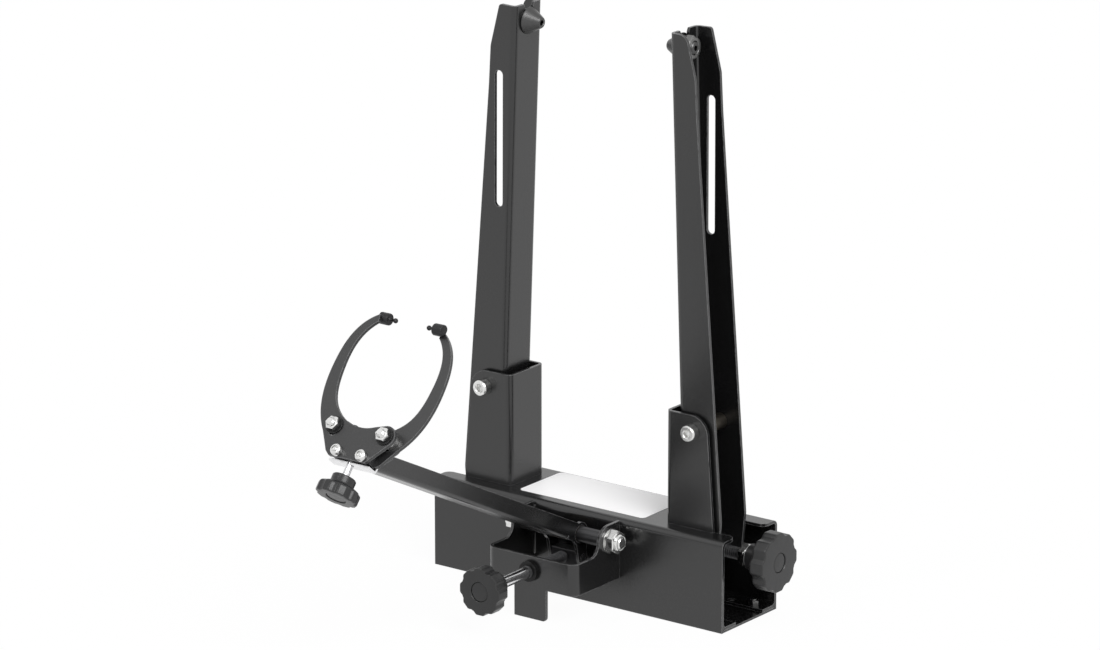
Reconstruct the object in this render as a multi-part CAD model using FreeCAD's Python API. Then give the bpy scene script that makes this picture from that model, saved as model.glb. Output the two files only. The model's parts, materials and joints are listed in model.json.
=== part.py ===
import FreeCAD, Part
import os
from math import atan2, cos, degrees, pi, radians, sin, sqrt, tan

from FreeCAD import Placement, Rotation, Vector

# Wheel truing stand.  Millimetres, +X to the right along the base, +Y to the rear, +Z up.
# The origin is the middle of the base's underside.

# ---------------------------------------------------------------- base box
base_length = 285.0
base_depth = 75.0
base_height = 75.0
base_sheet = 2.5
base_bend = 3.0
base_lip = 19.0
floor_sheet = 2.0
mouth_width = 39.0
mouth_corner = 6.0
floor_screw_inset = 13.0
floor_screw_radius = 2.5
floor_nut_flats = 8.0
floor_nut_height = 4.0
floor_sink = 1.6
floor_key = 3.0
bench_hole_radius = 3.25
bench_hole_inset = 34.0

# ---------------------------------------------------------------- upright brackets
bracket_face = 76.5
bracket_width = 45.0
bracket_sheet = 2.5
bracket_bend = 2.5
bracket_top_rise = 13.4
bracket_foot_depth = 46.0
bracket_top_depth = 39.0
bracket_corner = 16.0

# ---------------------------------------------------------------- upright arms
pivot_reach = 102.2
pivot_height = 154.6
arm_lean = 2.1
arm_width = 36.0
arm_sheet = 2.5
arm_bend = 2.5
arm_web_offset = 16.5
arm_top = 316.0
arm_taper_top = 281.0
arm_taper_start = 250.0
arm_taper_room = 27.4
arm_foot_room = 11.6
arm_tip_depth = 16.0
arm_neck_depth = 23.6
arm_upper_depth = 24.2
arm_lower_depth = 38.0
arm_foot_depth = 33.0
arm_foot_corner = 6.0
arm_taper_bend = 30.0
arm_neck_bend = 12.0
arm_front_corner = 9.0
arm_rear_corner = 3.0
notch_width = 10.2
notch_depth = 19.1
notch_mouth = 2.0
slot_width = 7.5
slot_low = 150.5
slot_high = 262.0
slot_low_depth = 11.2
slot_high_depth = 14.5
pivot_bolt_radius = 4.0
pivot_head_radius = 6.7
pivot_head_height = 8.0
pivot_nut_flats = 13.0
pivot_nut_height = 8.0
pivot_sleeve_radius = 6.5
pivot_washer_radius = 9.0
socket_flats = 6.0

# ---------------------------------------------------------------- axle cones
cone_base_radius = 11.0
cone_tip_radius = 4.0
cone_length = 13.0
cone_rim = 1.2
cone_stud_radius = 5.0
cone_bore_radius = 2.2
cone_nut_flats = 17.0
cone_nut_height = 7.0
cone_washer_radius = 9.0
cone_washer_sheet = 1.6

# ---------------------------------------------------------------- spindle
spindle_height = 54.3
spindle_radius = 5.0
spindle_left_end = -128.0
spindle_window_width = 12.8
spindle_window_height = 17.0
trunnion_length = 16.0
trunnion_height = 16.0
trunnion_pin_radius = 4.0
trunnion_pin_proud = 0.6
trunnion_travel_room = 0.8
bearing_sheet = 3.0
bearing_width = 40.0
bearing_drop = 36.0
bearing_flange = 16.0
bush_radius = 8.0
bush_flange_radius = 10.0
bush_flange = 1.5
collar_radius = 9.0
collar_length = 8.0
grub_radius = 1.6
lock_nut_start = 136.0
lock_nut_flats = 17.0
lock_nut_height = 6.0
lock_washer_radius = 10.0
lock_washer_sheet = 1.6

# ---------------------------------------------------------------- hand knobs
knob_lobes = 8
width_knob_radius = 24.7
width_knob_disc = 15.5
width_knob_hub = 12.0
width_knob_hub_radius = 13.5
height_knob_radius = 19.8
height_knob_disc = 15.0
height_knob_hub = 9.0
height_knob_hub_radius = 10.5
caliper_knob_radius = 17.2
caliper_knob_disc = 11.5
caliper_knob_hub = 7.0
caliper_knob_hub_radius = 9.5
knob_cap_radius = 8.0
knob_cap_sheet = 1.2
knob_cap_recess = 1.8
knob_edge = 1.5

# ---------------------------------------------------------------- front bracket
front_reach = 60.5
front_width = 87.0
front_sheet = 2.5
front_bend = 5.5
front_bottom = 26.0
front_wall_top = 52.0
front_floor_reach = 32.0
ear_radius = 13.0
caliper_pivot_reach = 14.0
caliper_pivot_height = 61.0
foot_tab_width = 31.5
foot_tab_chamfer = 3.5

# ---------------------------------------------------------------- caliper arm
lever_tilt = 9.0
arm2_width = 30.0
arm2_height = 15.0
arm2_sheet = 2.5
arm2_bend = 1.5
arm2_tail = 9.5
arm2_web_start = 15.0
caliper_bolt_radius = 5.0
caliper_bolt_head = 9.5
caliper_nut_flats = 17.0
caliper_nut_height = 10.0
caliper_washer_radius = 10.0
caliper_washer_sheet = 1.5
spacer_radius = 6.3
arm_sleeve_radius = 7.0

# ---------------------------------------------------------------- height adjuster
adjuster_height = 39.9
adjuster_radius = 5.0
adjuster_neck_radius = 3.5
adjuster_knob_face = 126.6
adjuster_bush_radius = 8.5
adjuster_bush_body = 7.0
adjuster_bush_flange = 3.5
adjuster_bush_nut = 5.0
lever_half_width = 5.0
lever_pin_radius = 2.5
swivel_length = 11.0
swivel_height = 13.0
swivel_collar = 2.4
lever_slot_room = 1.8
lever_pin_proud = 0.5

# ---------------------------------------------------------------- caliper head
head_reach = 321.9
head_height = 193.4
head_tilt = 50.4
caliper_sheet = 3.0
caliper_gap = 6.4
caliper_pivot_x = 23.9
caliper_pivot_v = 19.2
lobe_radius = 8.8
lobe_upper_angle = 108.0
lobe_lower_angle = -36.0
hook_shoulder_x = 32.6
hook_shoulder_v = 13.0
hook_calf_x = 46.2
hook_calf_v = 38.0
hook_knee_x = 49.3
hook_knee_v = 68.0
hook_brow_x = 43.3
hook_brow_v = 96.5
hook_end_inset = 3.4
hook_end_rise = 0.8
hook_nose_inset = 4.4
hook_nose_drop = 5.2
crook_top_x = 36.2
crook_top_v = 94.0
crook_deep_x = 39.5
crook_deep_v = 64.0
crook_low_x = 32.2
crook_low_v = 38.0
crook_floor_x = 12.5
crook_floor_v = 23.9
crook_lip_x = 12.0
crook_lip_v = 24.8
foot_right_x = 15.8
foot_left_x = 18.6
heel_x = 22.6
heel_drop = 1.6
caliper_foot = 4.6
drive_pin_x = 11.8
drive_pin_radius = 2.5
drive_pin_fit = 0.15
drive_head_radius = 4.6
drive_head_height = 4.5
drive_post_radius = 1.6
drive_head_edge = 1.0
drive_recess_width = 1.1
drive_recess_depth = 1.5
tip_height = 112.8
tip_gap = 28.4
tip_barrel_radius = 4.7
tip_barrel_length = 13.4
tip_flat_length = 4.8
tip_pin_radius = 1.6
tip_pin_length = 3.0
edge_break = 0.8
head_bolt_radius = 3.0
head_bolt_closing = 5.1
head_bolt_opening = 0.7
head_washer_radius = 7.2
head_washer_sheet = 1.2
head_nut_flats = 10.0
head_nut_height = 6.0
head_bolt_end = 1.6
head_screw_head = 4.0
head_screw_radius = 5.0
head_screw_flats = 4.0
carrier_sheet = 2.0
carrier_clearance = 0.4
carrier_floor = 5.3
carrier_floor_width = 38.0
carrier_floor_front = 3.4
carrier_bend = 1.0
cheek_rise = 14.0
cheek_reach = 29.0
yoke_low = 3.8
yoke_high = 7.5
yoke_width = 36.0
yoke_pocket = 2.6
yoke_sill = 2.8
pocket_inward = 0.6
pocket_outward = 2.4
yoke_window = 3.2
yoke_corner = 4.0
caliper_screw_radius = 3.0
caliper_neck_radius = 1.5
caliper_collar_radius = 2.4
caliper_collar_length = 2.0
caliper_hub_start = 17.0

# ---------------------------------------------------------------- fits
running_fit = 0.05
part_gap = 0.3
seat_fit = 0.02
side_fit = 0.1
slot_fit = 0.2

# Shortest straight left between two roundings, so that no edge has zero length.
sliver = 0.01

X_AXIS = Vector(1, 0, 0)
Y_AXIS = Vector(0, 1, 0)
Z_AXIS = Vector(0, 0, 1)


# ================================================================ shape helpers
def box(x0, x1, y0, y1, z0, z1):
    return Part.makeBox(x1 - x0, y1 - y0, z1 - z0, Vector(x0, y0, z0))


def rod(start, axis, radius, length):
    return Part.makeCylinder(radius, length, start, axis)


def tube(start, axis, radius, bore, length):
    return rod(start, axis, radius, length).cut(rod(start, axis, bore, length))


def placed(shape, placement):
    moved = shape.copy()
    moved.Placement = placement.multiply(moved.Placement)
    return moved


def fuse(first, *others):
    whole = first
    for other in others:
        whole = whole.fuse(other)
    return whole.removeSplitter()


def outline(corners, to_space):
    """Closed wire through (a, b, radius) corners; each corner is rounded by its radius."""
    count = len(corners)
    starts = []
    ends = []
    middles = []
    for i in range(count):
        here = Vector(corners[i][0], corners[i][1], 0)
        before = Vector(corners[i - 1][0], corners[i - 1][1], 0)
        after = Vector(corners[(i + 1) % count][0], corners[(i + 1) % count][1], 0)
        back = (before - here).normalize()
        ahead = (after - here).normalize()
        radius = corners[i][2]
        if radius <= 0:
            starts.append(here)
            ends.append(here)
            middles.append(None)
            continue
        half = back.getAngle(ahead) / 2
        reach = radius / tan(half)
        centre = here + (back + ahead).normalize() * (radius / sin(half))
        starts.append(here + back * reach)
        ends.append(here + ahead * reach)
        middles.append(centre + (here - centre).normalize() * radius)
    edges = []
    for i in range(count):
        if middles[i] is not None:
            arc = Part.Arc(to_space(starts[i]), to_space(middles[i]), to_space(ends[i]))
            edges.append(arc.toShape())
        following = starts[(i + 1) % count]
        if (following - ends[i]).Length > 1e-6:
            edges.append(Part.LineSegment(to_space(ends[i]), to_space(following)).toShape())
    return Part.Wire(edges)


def plate_xy(corners, z0, z1):
    wire = outline(corners, lambda p: Vector(p.x, p.y, z0))
    return Part.Face(wire).extrude(Vector(0, 0, z1 - z0))


def plate_xz(corners, y0, y1):
    wire = outline(corners, lambda p: Vector(p.x, y0, p.y))
    return Part.Face(wire).extrude(Vector(0, y1 - y0, 0))


def plate_yz(corners, x0, x1):
    wire = outline(corners, lambda p: Vector(x0, p.x, p.y))
    return Part.Face(wire).extrude(Vector(x1 - x0, 0, 0))


def round_ends(a0, a1, b0, b1, radius):
    """Corners of a rectangle with rounded corners; a slot when radius is half its width."""
    rounding = min(radius, (a1 - a0) / 2 - sliver, (b1 - b0) / 2 - sliver)
    return [(a0, b0, rounding), (a1, b0, rounding), (a1, b1, rounding), (a0, b1, rounding)]


def channel_section(width, depth, sheet, bend):
    """Corners of a U: web from 0 to sheet along a, flanges reaching to depth, width along b."""
    half = width / 2
    outer = bend + sheet
    return [
        (0, -half, outer), (depth, -half, 0), (depth, -half + sheet, 0), (sheet, -half + sheet, bend),
        (sheet, half - sheet, bend), (depth, half - sheet, 0), (depth, half, 0), (0, half, outer),
    ]


def prism(flats, start, axis, height):
    """Hexagonal bar standing on start."""
    corner = flats / sqrt(3)
    points = [Vector(corner * cos(radians(60 * k)), corner * sin(radians(60 * k)), 0) for k in range(6)]
    face = Part.Face(Part.makePolygon(points + points[:1]))
    bar = face.extrude(Vector(0, 0, height))
    return placed(bar, Placement(start, Rotation(Z_AXIS, axis)))


def hex_nut(flats, bore, start, axis, height):
    """Hexagon nut with its corners turned off on the outer end."""
    corner = flats / sqrt(3)
    edge = corner - flats / 2
    body = prism(flats, start, axis, height)
    crown = rod(start, axis, corner, height - edge)
    top = Part.makeCone(corner, flats / 2, edge, start + axis * (height - edge), axis)
    return body.common(crown.fuse(top)).cut(rod(start, axis, bore, height))


def lock_nut(flats, bore, start, axis, height):
    """Self-locking nut: a hexagon with a round collar that holds the nylon ring."""
    collar = height * 0.3
    body = hex_nut(flats, bore, start, axis, height - collar)
    ring = tube(start + axis * (height - collar), axis, flats * 0.43, bore, collar)
    return fuse(body, ring)


def cap_screw(start, axis, shank_radius, shank_length, head_radius, head_height, flats):
    """Socket head screw; start is the seat under the head, axis points along the shank."""
    edge = min(0.12 * head_radius, 0.2 * head_height)
    seat = start - axis * head_height
    head = rod(seat + axis * edge, axis, head_radius, head_height - edge)
    rim = Part.makeCone(head_radius - edge, head_radius, edge, seat, axis)
    socket = prism(flats, seat, axis, head_height * 0.55)
    return fuse(head, rim, rod(start, axis, shank_radius, shank_length)).cut(socket)


def lobed_disc(radius, thickness):
    """Knob disc on the local XY plane, its outer face up: eight flat-topped lobes."""
    valley = radius * 0.86
    half_lobe = 360 / knob_lobes * 0.27
    corners = []
    for k in range(knob_lobes):
        middle = 360 / knob_lobes * k
        for angle in (middle - half_lobe, middle + half_lobe):
            corners.append((radius * cos(radians(angle)), radius * sin(radians(angle)), radius * 0.12))
        angle = middle + 180 / knob_lobes
        corners.append((valley * cos(radians(angle)), valley * sin(radians(angle)), radius * 0.16))
    disc = plate_xy(corners, 0, thickness)
    rim = [e for e in disc.Edges if all(abs(v.Z - thickness) < 1e-6 for v in e.Vertexes)]
    return disc.makeChamfer(min(knob_edge, thickness / 3), rim)


def hand_knob(radius, disc, hub_radius, hub, bore, bore_depth):
    """Knob on the local Z axis: hub from 0, disc above it, cap recess in the outer face."""
    disc_part = lobed_disc(radius, disc).translated(Vector(0, 0, hub))
    knob = fuse(disc_part, rod(Vector(), Z_AXIS, hub_radius, hub))
    recess = rod(Vector(0, 0, hub + disc - knob_cap_recess), Z_AXIS, knob_cap_radius + side_fit,
                 knob_cap_recess)
    return knob.cut(recess).cut(rod(Vector(), Z_AXIS, bore, bore_depth))


def knob_cap(hub, disc):
    start = Vector(0, 0, hub + disc - knob_cap_recess)
    return Part.makeCone(knob_cap_radius, knob_cap_radius - knob_cap_sheet / 2, knob_cap_sheet, start, Z_AXIS)


def along(start, axis):
    """Placement that carries the local Z axis onto axis, from start."""
    return Placement(start, Rotation(Z_AXIS, axis))


HALF_TURN = Placement(Vector(), Rotation(Z_AXIS, 180))


# ================================================================ base box
def base_body():
    half = base_depth / 2
    outer = base_bend + base_sheet
    low = floor_sheet
    inner_low = low + base_sheet
    inner_high = base_height - base_sheet
    inner = half - base_sheet
    lip = half - base_lip
    corners = [
        (-lip, low, 0), (-half, low, outer), (-half, base_height, outer), (half, base_height, outer),
        (half, low, outer), (lip, low, 0), (lip, inner_low, 0), (inner, inner_low, base_bend),
        (inner, inner_high, base_bend), (-inner, inner_high, base_bend), (-inner, inner_low, base_bend),
        (-lip, inner_low, 0),
    ]
    body = plate_yz(corners, -base_length / 2, base_length / 2)
    mouth_start = bracket_face + bracket_sheet
    for side in (1, -1):
        ends = sorted((side * mouth_start, side * (base_length / 2 + 1)))
        body = body.cut(box(ends[0], ends[1], -mouth_width / 2, mouth_width / 2, inner_high - 1,
                            base_height + 1))
        body = round_lips(body, side)
    return cut_floor_holes(body)


def round_lips(body, side):
    """Rounds the free corner of the two top lips at one open end."""
    end = side * base_length / 2
    for rear in (1, -1):
        inside = rear * mouth_width / 2
        corner = box(*sorted((end, end - side * mouth_corner)), *sorted((inside, inside + rear * mouth_corner)),
                     base_height - base_sheet - 1, base_height + 1)
        centre = Vector(end - side * mouth_corner, inside + rear * mouth_corner, base_height - base_sheet - 2)
        body = body.cut(corner.cut(rod(centre, Z_AXIS, mouth_corner, base_sheet + 4)))
    return body


def floor_screw_places():
    x = base_length / 2 - floor_screw_inset
    y = base_depth / 2 - floor_screw_inset
    return [(sx * x, sy * y) for sx in (1, -1) for sy in (1, -1)]


def bench_hole_places():
    x = base_length / 2 - bench_hole_inset
    y = base_depth / 2 - floor_screw_inset
    return [(sx * x, sy * y) for sx in (1, -1) for sy in (1, -1)]


def cut_floor_holes(shape):
    height = floor_sheet + base_sheet + 2
    for x, y in floor_screw_places():
        shape = shape.cut(rod(Vector(x, y, -1), Z_AXIS, floor_screw_radius + seat_fit, height))
    for x, y in bench_hole_places():
        shape = shape.cut(rod(Vector(x, y, -1), Z_AXIS, bench_hole_radius, height))
    return shape


def base_floor():
    half_x = base_length / 2
    half_y = base_depth / 2
    plate = plate_xy([(-half_x, -half_y, 1), (half_x, -half_y, 1), (half_x, half_y, 1), (-half_x, half_y, 1)],
                     0, floor_sheet)
    plate = cut_floor_holes(plate)
    for x, y in floor_screw_places():
        sink = Part.makeCone(floor_screw_radius + floor_sink, floor_screw_radius + seat_fit, floor_sink,
                             Vector(x, y, 0), Z_AXIS)
        plate = plate.cut(sink)
    return plate


def floor_screws():
    screws = []
    sink = floor_sink - side_fit
    length = floor_sheet + base_sheet + floor_nut_height + 1
    for x, y in floor_screw_places():
        head = Part.makeCone(floor_screw_radius + sink, floor_screw_radius, sink, Vector(x, y, 0), Z_AXIS)
        shank = rod(Vector(x, y, 0), Z_AXIS, floor_screw_radius, length)
        screws.append(fuse(head, shank).cut(prism(floor_key, Vector(x, y, 0), Z_AXIS, sink)))
    return Part.makeCompound(screws)


def floor_nuts():
    level = floor_sheet + base_sheet
    bore = floor_screw_radius + seat_fit
    return Part.makeCompound([hex_nut(floor_nut_flats, bore, Vector(x, y, level), Z_AXIS, floor_nut_height)
                              for x, y in floor_screw_places()])


# ================================================================ upright brackets
def right_bracket():
    """U-channel on the top plate, its web towards the middle and its open side outwards."""
    section = outline(channel_section(bracket_width, bracket_foot_depth, bracket_sheet, bracket_bend),
                      lambda p: Vector(bracket_face + p.x, p.y, base_height))
    top = pivot_height + bracket_top_rise
    channel = Part.Face(section).extrude(Vector(0, 0, top - base_height))
    side = plate_xz([
        (bracket_face, base_height, 0), (bracket_face + bracket_foot_depth, base_height, 0),
        (bracket_face + bracket_top_depth, top, bracket_corner), (bracket_face, top, 0),
    ], -bracket_width, bracket_width)
    hole = rod(Vector(pivot_reach, -bracket_width, pivot_height), Y_AXIS, pivot_bolt_radius + seat_fit,
               2 * bracket_width)
    return channel.common(side).cut(hole)


# ================================================================ upright arms
# Arm frame: origin on the pivot, Z along the arm, the web towards -X.
right_arm_place = Placement(Vector(pivot_reach, 0, pivot_height), Rotation(Y_AXIS, -arm_lean))
left_arm_place = HALF_TURN.multiply(right_arm_place)
trunnion_drop = (pivot_height - spindle_height) / cos(radians(arm_lean))
trunnion_reach = pivot_reach + (pivot_height - spindle_height) * tan(radians(arm_lean))
cone_level = arm_top - notch_depth + notch_width / 2
arm_bottom = -trunnion_drop - arm_foot_room
arm_taper_end = -trunnion_drop + arm_taper_room


def arm_outline(top_corner, y0, y1):
    web = -arm_web_offset
    return plate_xz([
        (web, arm_bottom, 0), (web + arm_foot_depth, arm_bottom, arm_foot_corner),
        (web + arm_lower_depth, arm_taper_end, arm_taper_bend),
        (web + arm_upper_depth, arm_taper_start, arm_taper_bend),
        (web + arm_neck_depth, arm_taper_top, arm_neck_bend),
        (web + arm_tip_depth, arm_top, top_corner), (web, arm_top, 0),
    ], y0, y1)


def arm_channel():
    section = outline(channel_section(arm_width, arm_lower_depth + 2, arm_sheet, arm_bend),
                      lambda p: Vector(p.x - arm_web_offset, p.y, arm_bottom))
    channel = Part.Face(section).extrude(Vector(0, 0, arm_top - arm_bottom))
    front = arm_outline(arm_front_corner, -arm_width, 0)
    rear = arm_outline(arm_rear_corner, 0, arm_width)
    arm = channel.common(front.fuse(rear))
    web = -arm_web_offset
    notch = plate_yz([
        (-notch_width / 2 - notch_mouth, arm_top + 1, 0), (-notch_width / 2, arm_top - notch_mouth - 1, 1),
        (-notch_width / 2, arm_top - notch_depth, notch_width / 2 - sliver),
        (notch_width / 2, arm_top - notch_depth, notch_width / 2 - sliver),
        (notch_width / 2, arm_top - notch_mouth - 1, 1), (notch_width / 2 + notch_mouth, arm_top + 1, 0),
    ], web - 1, web + arm_sheet + 1)
    arm = arm.cut(notch)
    arm = arm.cut(flange_slot())
    pivot = rod(Vector(0, -arm_width, 0), Y_AXIS, pivot_bolt_radius + running_fit, 2 * arm_width)
    arm = arm.cut(pivot)
    half = spindle_window_width / 2
    low = -trunnion_drop - spindle_window_height / 2
    high = -trunnion_drop + spindle_window_height / 2
    arm = arm.cut(plate_yz(round_ends(-half, half, low, high, half), web - 1, web + arm_sheet + 1))
    half = trunnion_pin_radius + side_fit
    low = -trunnion_drop - half - trunnion_travel_room
    high = -trunnion_drop + half + trunnion_travel_room / 2
    return arm.cut(plate_xz(round_ends(-half, half, low, high, half), -arm_width, arm_width))


def flange_slot():
    """Long slot through the rear flange only."""
    half = slot_width / 2
    low = Vector(slot_low_depth - arm_web_offset, 0, slot_low + half)
    high = Vector(slot_high_depth - arm_web_offset, 0, slot_high - half)
    run = high - low
    tilt = degrees(atan2(run.x, run.z))
    slot = plate_xz(round_ends(-half, half, -half, run.Length + half, half), 0, arm_width)
    return placed(slot, Placement(low, Rotation(Y_AXIS, tilt)))


def arm_cone():
    """Cone on the web's inner side with its stud through the axle notch."""
    web = -arm_web_offset
    seat = Vector(web, 0, cone_level)
    rim = rod(seat, -X_AXIS, cone_base_radius, cone_rim)
    taper = Part.makeCone(cone_base_radius, cone_tip_radius, cone_length - cone_rim,
                          seat - X_AXIS * cone_rim, -X_AXIS)
    stud_length = arm_sheet + cone_washer_sheet + cone_nut_height + 1
    stud = rod(seat, X_AXIS, cone_stud_radius, stud_length)
    bore = rod(seat - X_AXIS * (cone_length + 1), X_AXIS, cone_bore_radius, cone_length + stud_length + 2)
    return fuse(rim, taper, stud).cut(bore)


def arm_cone_washer():
    seat = Vector(-arm_web_offset + arm_sheet, 0, cone_level)
    return tube(seat, X_AXIS, cone_washer_radius, cone_stud_radius + seat_fit, cone_washer_sheet)


def arm_cone_nut():
    seat = Vector(-arm_web_offset + arm_sheet + cone_washer_sheet, 0, cone_level)
    return hex_nut(cone_nut_flats, cone_stud_radius + seat_fit, seat, X_AXIS, cone_nut_height)


def arm_sleeve():
    half = arm_width / 2 - arm_sheet - side_fit
    return tube(Vector(0, -half, 0), Y_AXIS, pivot_sleeve_radius, pivot_bolt_radius + running_fit, 2 * half)


def pivot_bolts():
    length = bracket_width + pivot_nut_height + 1
    seats = [Vector(reach, -bracket_width / 2, pivot_height) for reach in (pivot_reach, -pivot_reach)]
    return Part.makeCompound([cap_screw(seat, Y_AXIS, pivot_bolt_radius, length, pivot_head_radius,
                                        pivot_head_height, socket_flats) for seat in seats])


def pivot_nuts():
    seats = [Vector(reach, bracket_width / 2, pivot_height) for reach in (pivot_reach, -pivot_reach)]
    return Part.makeCompound([lock_nut(pivot_nut_flats, pivot_bolt_radius + seat_fit, seat, Y_AXIS,
                                       pivot_nut_height) for seat in seats])


def pivot_washers():
    """Side washers that fill the gaps between the brackets and the arms."""
    inside = bracket_width / 2 - bracket_sheet
    thickness = inside - arm_width / 2 - side_fit
    bore = pivot_bolt_radius + seat_fit
    return Part.makeCompound([tube(Vector(reach, side * inside, pivot_height), Y_AXIS * -side,
                                   pivot_washer_radius, bore, thickness)
                              for reach in (pivot_reach, -pivot_reach) for side in (1, -1)])


# ================================================================ spindle
knob_start = lock_nut_start + lock_nut_height + lock_washer_sheet


def on_spindle(x):
    return Vector(x, 0, spindle_height)


def spindle():
    end = knob_start + width_knob_hub + width_knob_disc / 2
    whole = rod(on_spindle(spindle_left_end), X_AXIS, spindle_radius, end - spindle_left_end)
    tips = [e for e in whole.Edges if abs(e.BoundBox.XLength) < 1e-6 and len(e.Vertexes) == 1]
    return whole.makeChamfer(edge_break, tips)


def trunnion_nut(side):
    """Nut block that rides the spindle thread, with two pins for the arm's flanges."""
    x = side * trunnion_reach
    half_y = arm_width / 2 - arm_sheet - slot_fit
    half = trunnion_length / 2
    low = spindle_height - trunnion_height / 2
    high = spindle_height + trunnion_height / 2
    block = plate_yz([(-half_y, low, 1), (half_y, low, 1), (half_y, high, 1), (-half_y, high, 1)],
                     x - half, x + half)
    reach = arm_width / 2 + trunnion_pin_proud
    pins = rod(Vector(x, -reach, spindle_height), Y_AXIS, trunnion_pin_radius, 2 * reach)
    bore = rod(on_spindle(x - half), X_AXIS, spindle_radius + running_fit, trunnion_length)
    return fuse(block, pins).cut(bore)


def spindle_bearing_bracket():
    """Bent plate under the top of the base that carries the spindle's middle."""
    ceiling = base_height - base_sheet
    half_y = bearing_width / 2
    low = ceiling - bearing_drop
    wall = plate_yz([(-half_y, low, 8), (half_y, low, 8), (half_y, ceiling, 0), (-half_y, ceiling, 0)],
                    -bearing_sheet / 2, bearing_sheet / 2)
    flange = box(-bearing_sheet / 2, bearing_flange, -half_y, half_y, ceiling - bearing_sheet, ceiling)
    hole = rod(on_spindle(-bearing_sheet), X_AXIS, bush_radius + seat_fit, 2 * bearing_sheet)
    return fuse(wall, flange).cut(hole)


def spindle_bush():
    half = bearing_sheet / 2
    body = rod(on_spindle(-half - bush_flange), X_AXIS, bush_radius, bearing_sheet + 2 * bush_flange)
    flange = rod(on_spindle(-half - bush_flange), X_AXIS, bush_flange_radius, bush_flange)
    bore = rod(on_spindle(-half - bush_flange), X_AXIS, spindle_radius + running_fit,
               bearing_sheet + 2 * bush_flange)
    return fuse(body, flange).cut(bore)


def spindle_collars():
    start = bearing_sheet / 2 + bush_flange + side_fit
    collars = []
    for side in (1, -1):
        ring = tube(on_spindle(side * start), X_AXIS * side, collar_radius, spindle_radius + seat_fit,
                    collar_length)
        grub = Vector(side * (start + collar_length / 2), 0, spindle_height)
        collars.append(ring.cut(rod(grub, Z_AXIS, grub_radius, collar_radius + 1)))
    return Part.makeCompound(collars)


def spindle_lock_nut():
    return hex_nut(lock_nut_flats, spindle_radius + seat_fit, on_spindle(lock_nut_start), X_AXIS,
                   lock_nut_height)


def spindle_washer():
    return tube(on_spindle(lock_nut_start + lock_nut_height), X_AXIS, lock_washer_radius,
                spindle_radius + seat_fit, lock_washer_sheet)


def width_knob():
    knob = hand_knob(width_knob_radius, width_knob_disc, width_knob_hub_radius, width_knob_hub,
                     spindle_radius + seat_fit, width_knob_hub + width_knob_disc / 2 + side_fit)
    return placed(knob, along(on_spindle(knob_start), X_AXIS))


def width_knob_cap():
    return placed(knob_cap(width_knob_hub, width_knob_disc), along(on_spindle(knob_start), X_AXIS))


# ================================================================ front bracket
base_front = -base_depth / 2
front_face = base_front - front_reach
caliper_pivot_y = base_front - caliper_pivot_reach


def on_caliper_pivot(x):
    return Vector(x, caliper_pivot_y, caliper_pivot_height)


def front_bracket():
    """Folded bracket on the base's front: two ears, a front wall, a floor strip and a foot tab."""
    half = front_width / 2
    outer = front_bend + front_sheet
    section = outline([
        (-half, base_front, 0), (-half, front_face, outer), (half, front_face, outer), (half, base_front, 0),
        (half - front_sheet, base_front, 0), (half - front_sheet, front_face + front_sheet, front_bend),
        (-half + front_sheet, front_face + front_sheet, front_bend), (-half + front_sheet, base_front, 0),
    ], lambda p: Vector(p.x, p.y, front_bottom))
    lobe_top = caliper_pivot_height + ear_radius
    walls = Part.Face(section).extrude(Vector(0, 0, lobe_top - front_bottom))
    ear_front = caliper_pivot_y - ear_radius
    side = plate_yz([
        (base_front, front_bottom, 0), (front_face, front_bottom, 0), (front_face, front_wall_top, 0),
        (ear_front - 2, front_wall_top, 9), (ear_front, lobe_top, ear_radius - sliver),
        (base_front, lobe_top, 0),
    ], -half - 1, half + 1)
    bracket = walls.common(side)
    inner = half - front_sheet
    floor_plate = plate_xy([
        (-inner, front_face + front_sheet, front_bend), (inner, front_face + front_sheet, front_bend),
        (inner, front_face + front_floor_reach, 0), (-inner, front_face + front_floor_reach, 0),
    ], front_bottom, front_bottom + front_sheet)
    tab = foot_tab_width / 2
    foot = plate_xz([(-tab, 0, 0.5), (tab, 0, foot_tab_chamfer), (tab, front_bottom + 4, 0),
                     (-tab, front_bottom + 4, 0)], front_face, front_face + front_sheet)
    bracket = fuse(bracket, floor_plate, foot)
    pivot = rod(on_caliper_pivot(-half - 1), X_AXIS, caliper_bolt_radius + seat_fit, front_width + 2)
    screw = rod(Vector(0, front_face - 1, adjuster_height), Y_AXIS, adjuster_bush_body + seat_fit,
                front_sheet + 2)
    return bracket.cut(pivot).cut(screw)


def caliper_pivot_bolt():
    half = front_width / 2 + caliper_washer_sheet
    head = hex_nut(caliper_nut_flats, caliper_bolt_radius / 2, on_caliper_pivot(-half), -X_AXIS,
                   caliper_bolt_head)
    core = rod(on_caliper_pivot(-half - caliper_bolt_head), X_AXIS, caliper_bolt_radius,
               caliper_bolt_head + 2 * half + caliper_nut_height + 1)
    return fuse(head, core)


def caliper_pivot_nut():
    half = front_width / 2 + caliper_washer_sheet
    return lock_nut(caliper_nut_flats, caliper_bolt_radius + seat_fit, on_caliper_pivot(half), X_AXIS,
                    caliper_nut_height)


def caliper_pivot_washers():
    half = front_width / 2
    return Part.makeCompound([tube(on_caliper_pivot(side * half), X_AXIS * side, caliper_washer_radius,
                                   caliper_bolt_radius + seat_fit, caliper_washer_sheet) for side in (1, -1)])


def caliper_pivot_spacers():
    start = arm2_width / 2 + side_fit
    end = front_width / 2 - front_sheet
    return Part.makeCompound([tube(on_caliper_pivot(side * start), X_AXIS * side, spacer_radius,
                                   caliper_bolt_radius + seat_fit, end - start) for side in (1, -1)])


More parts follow.
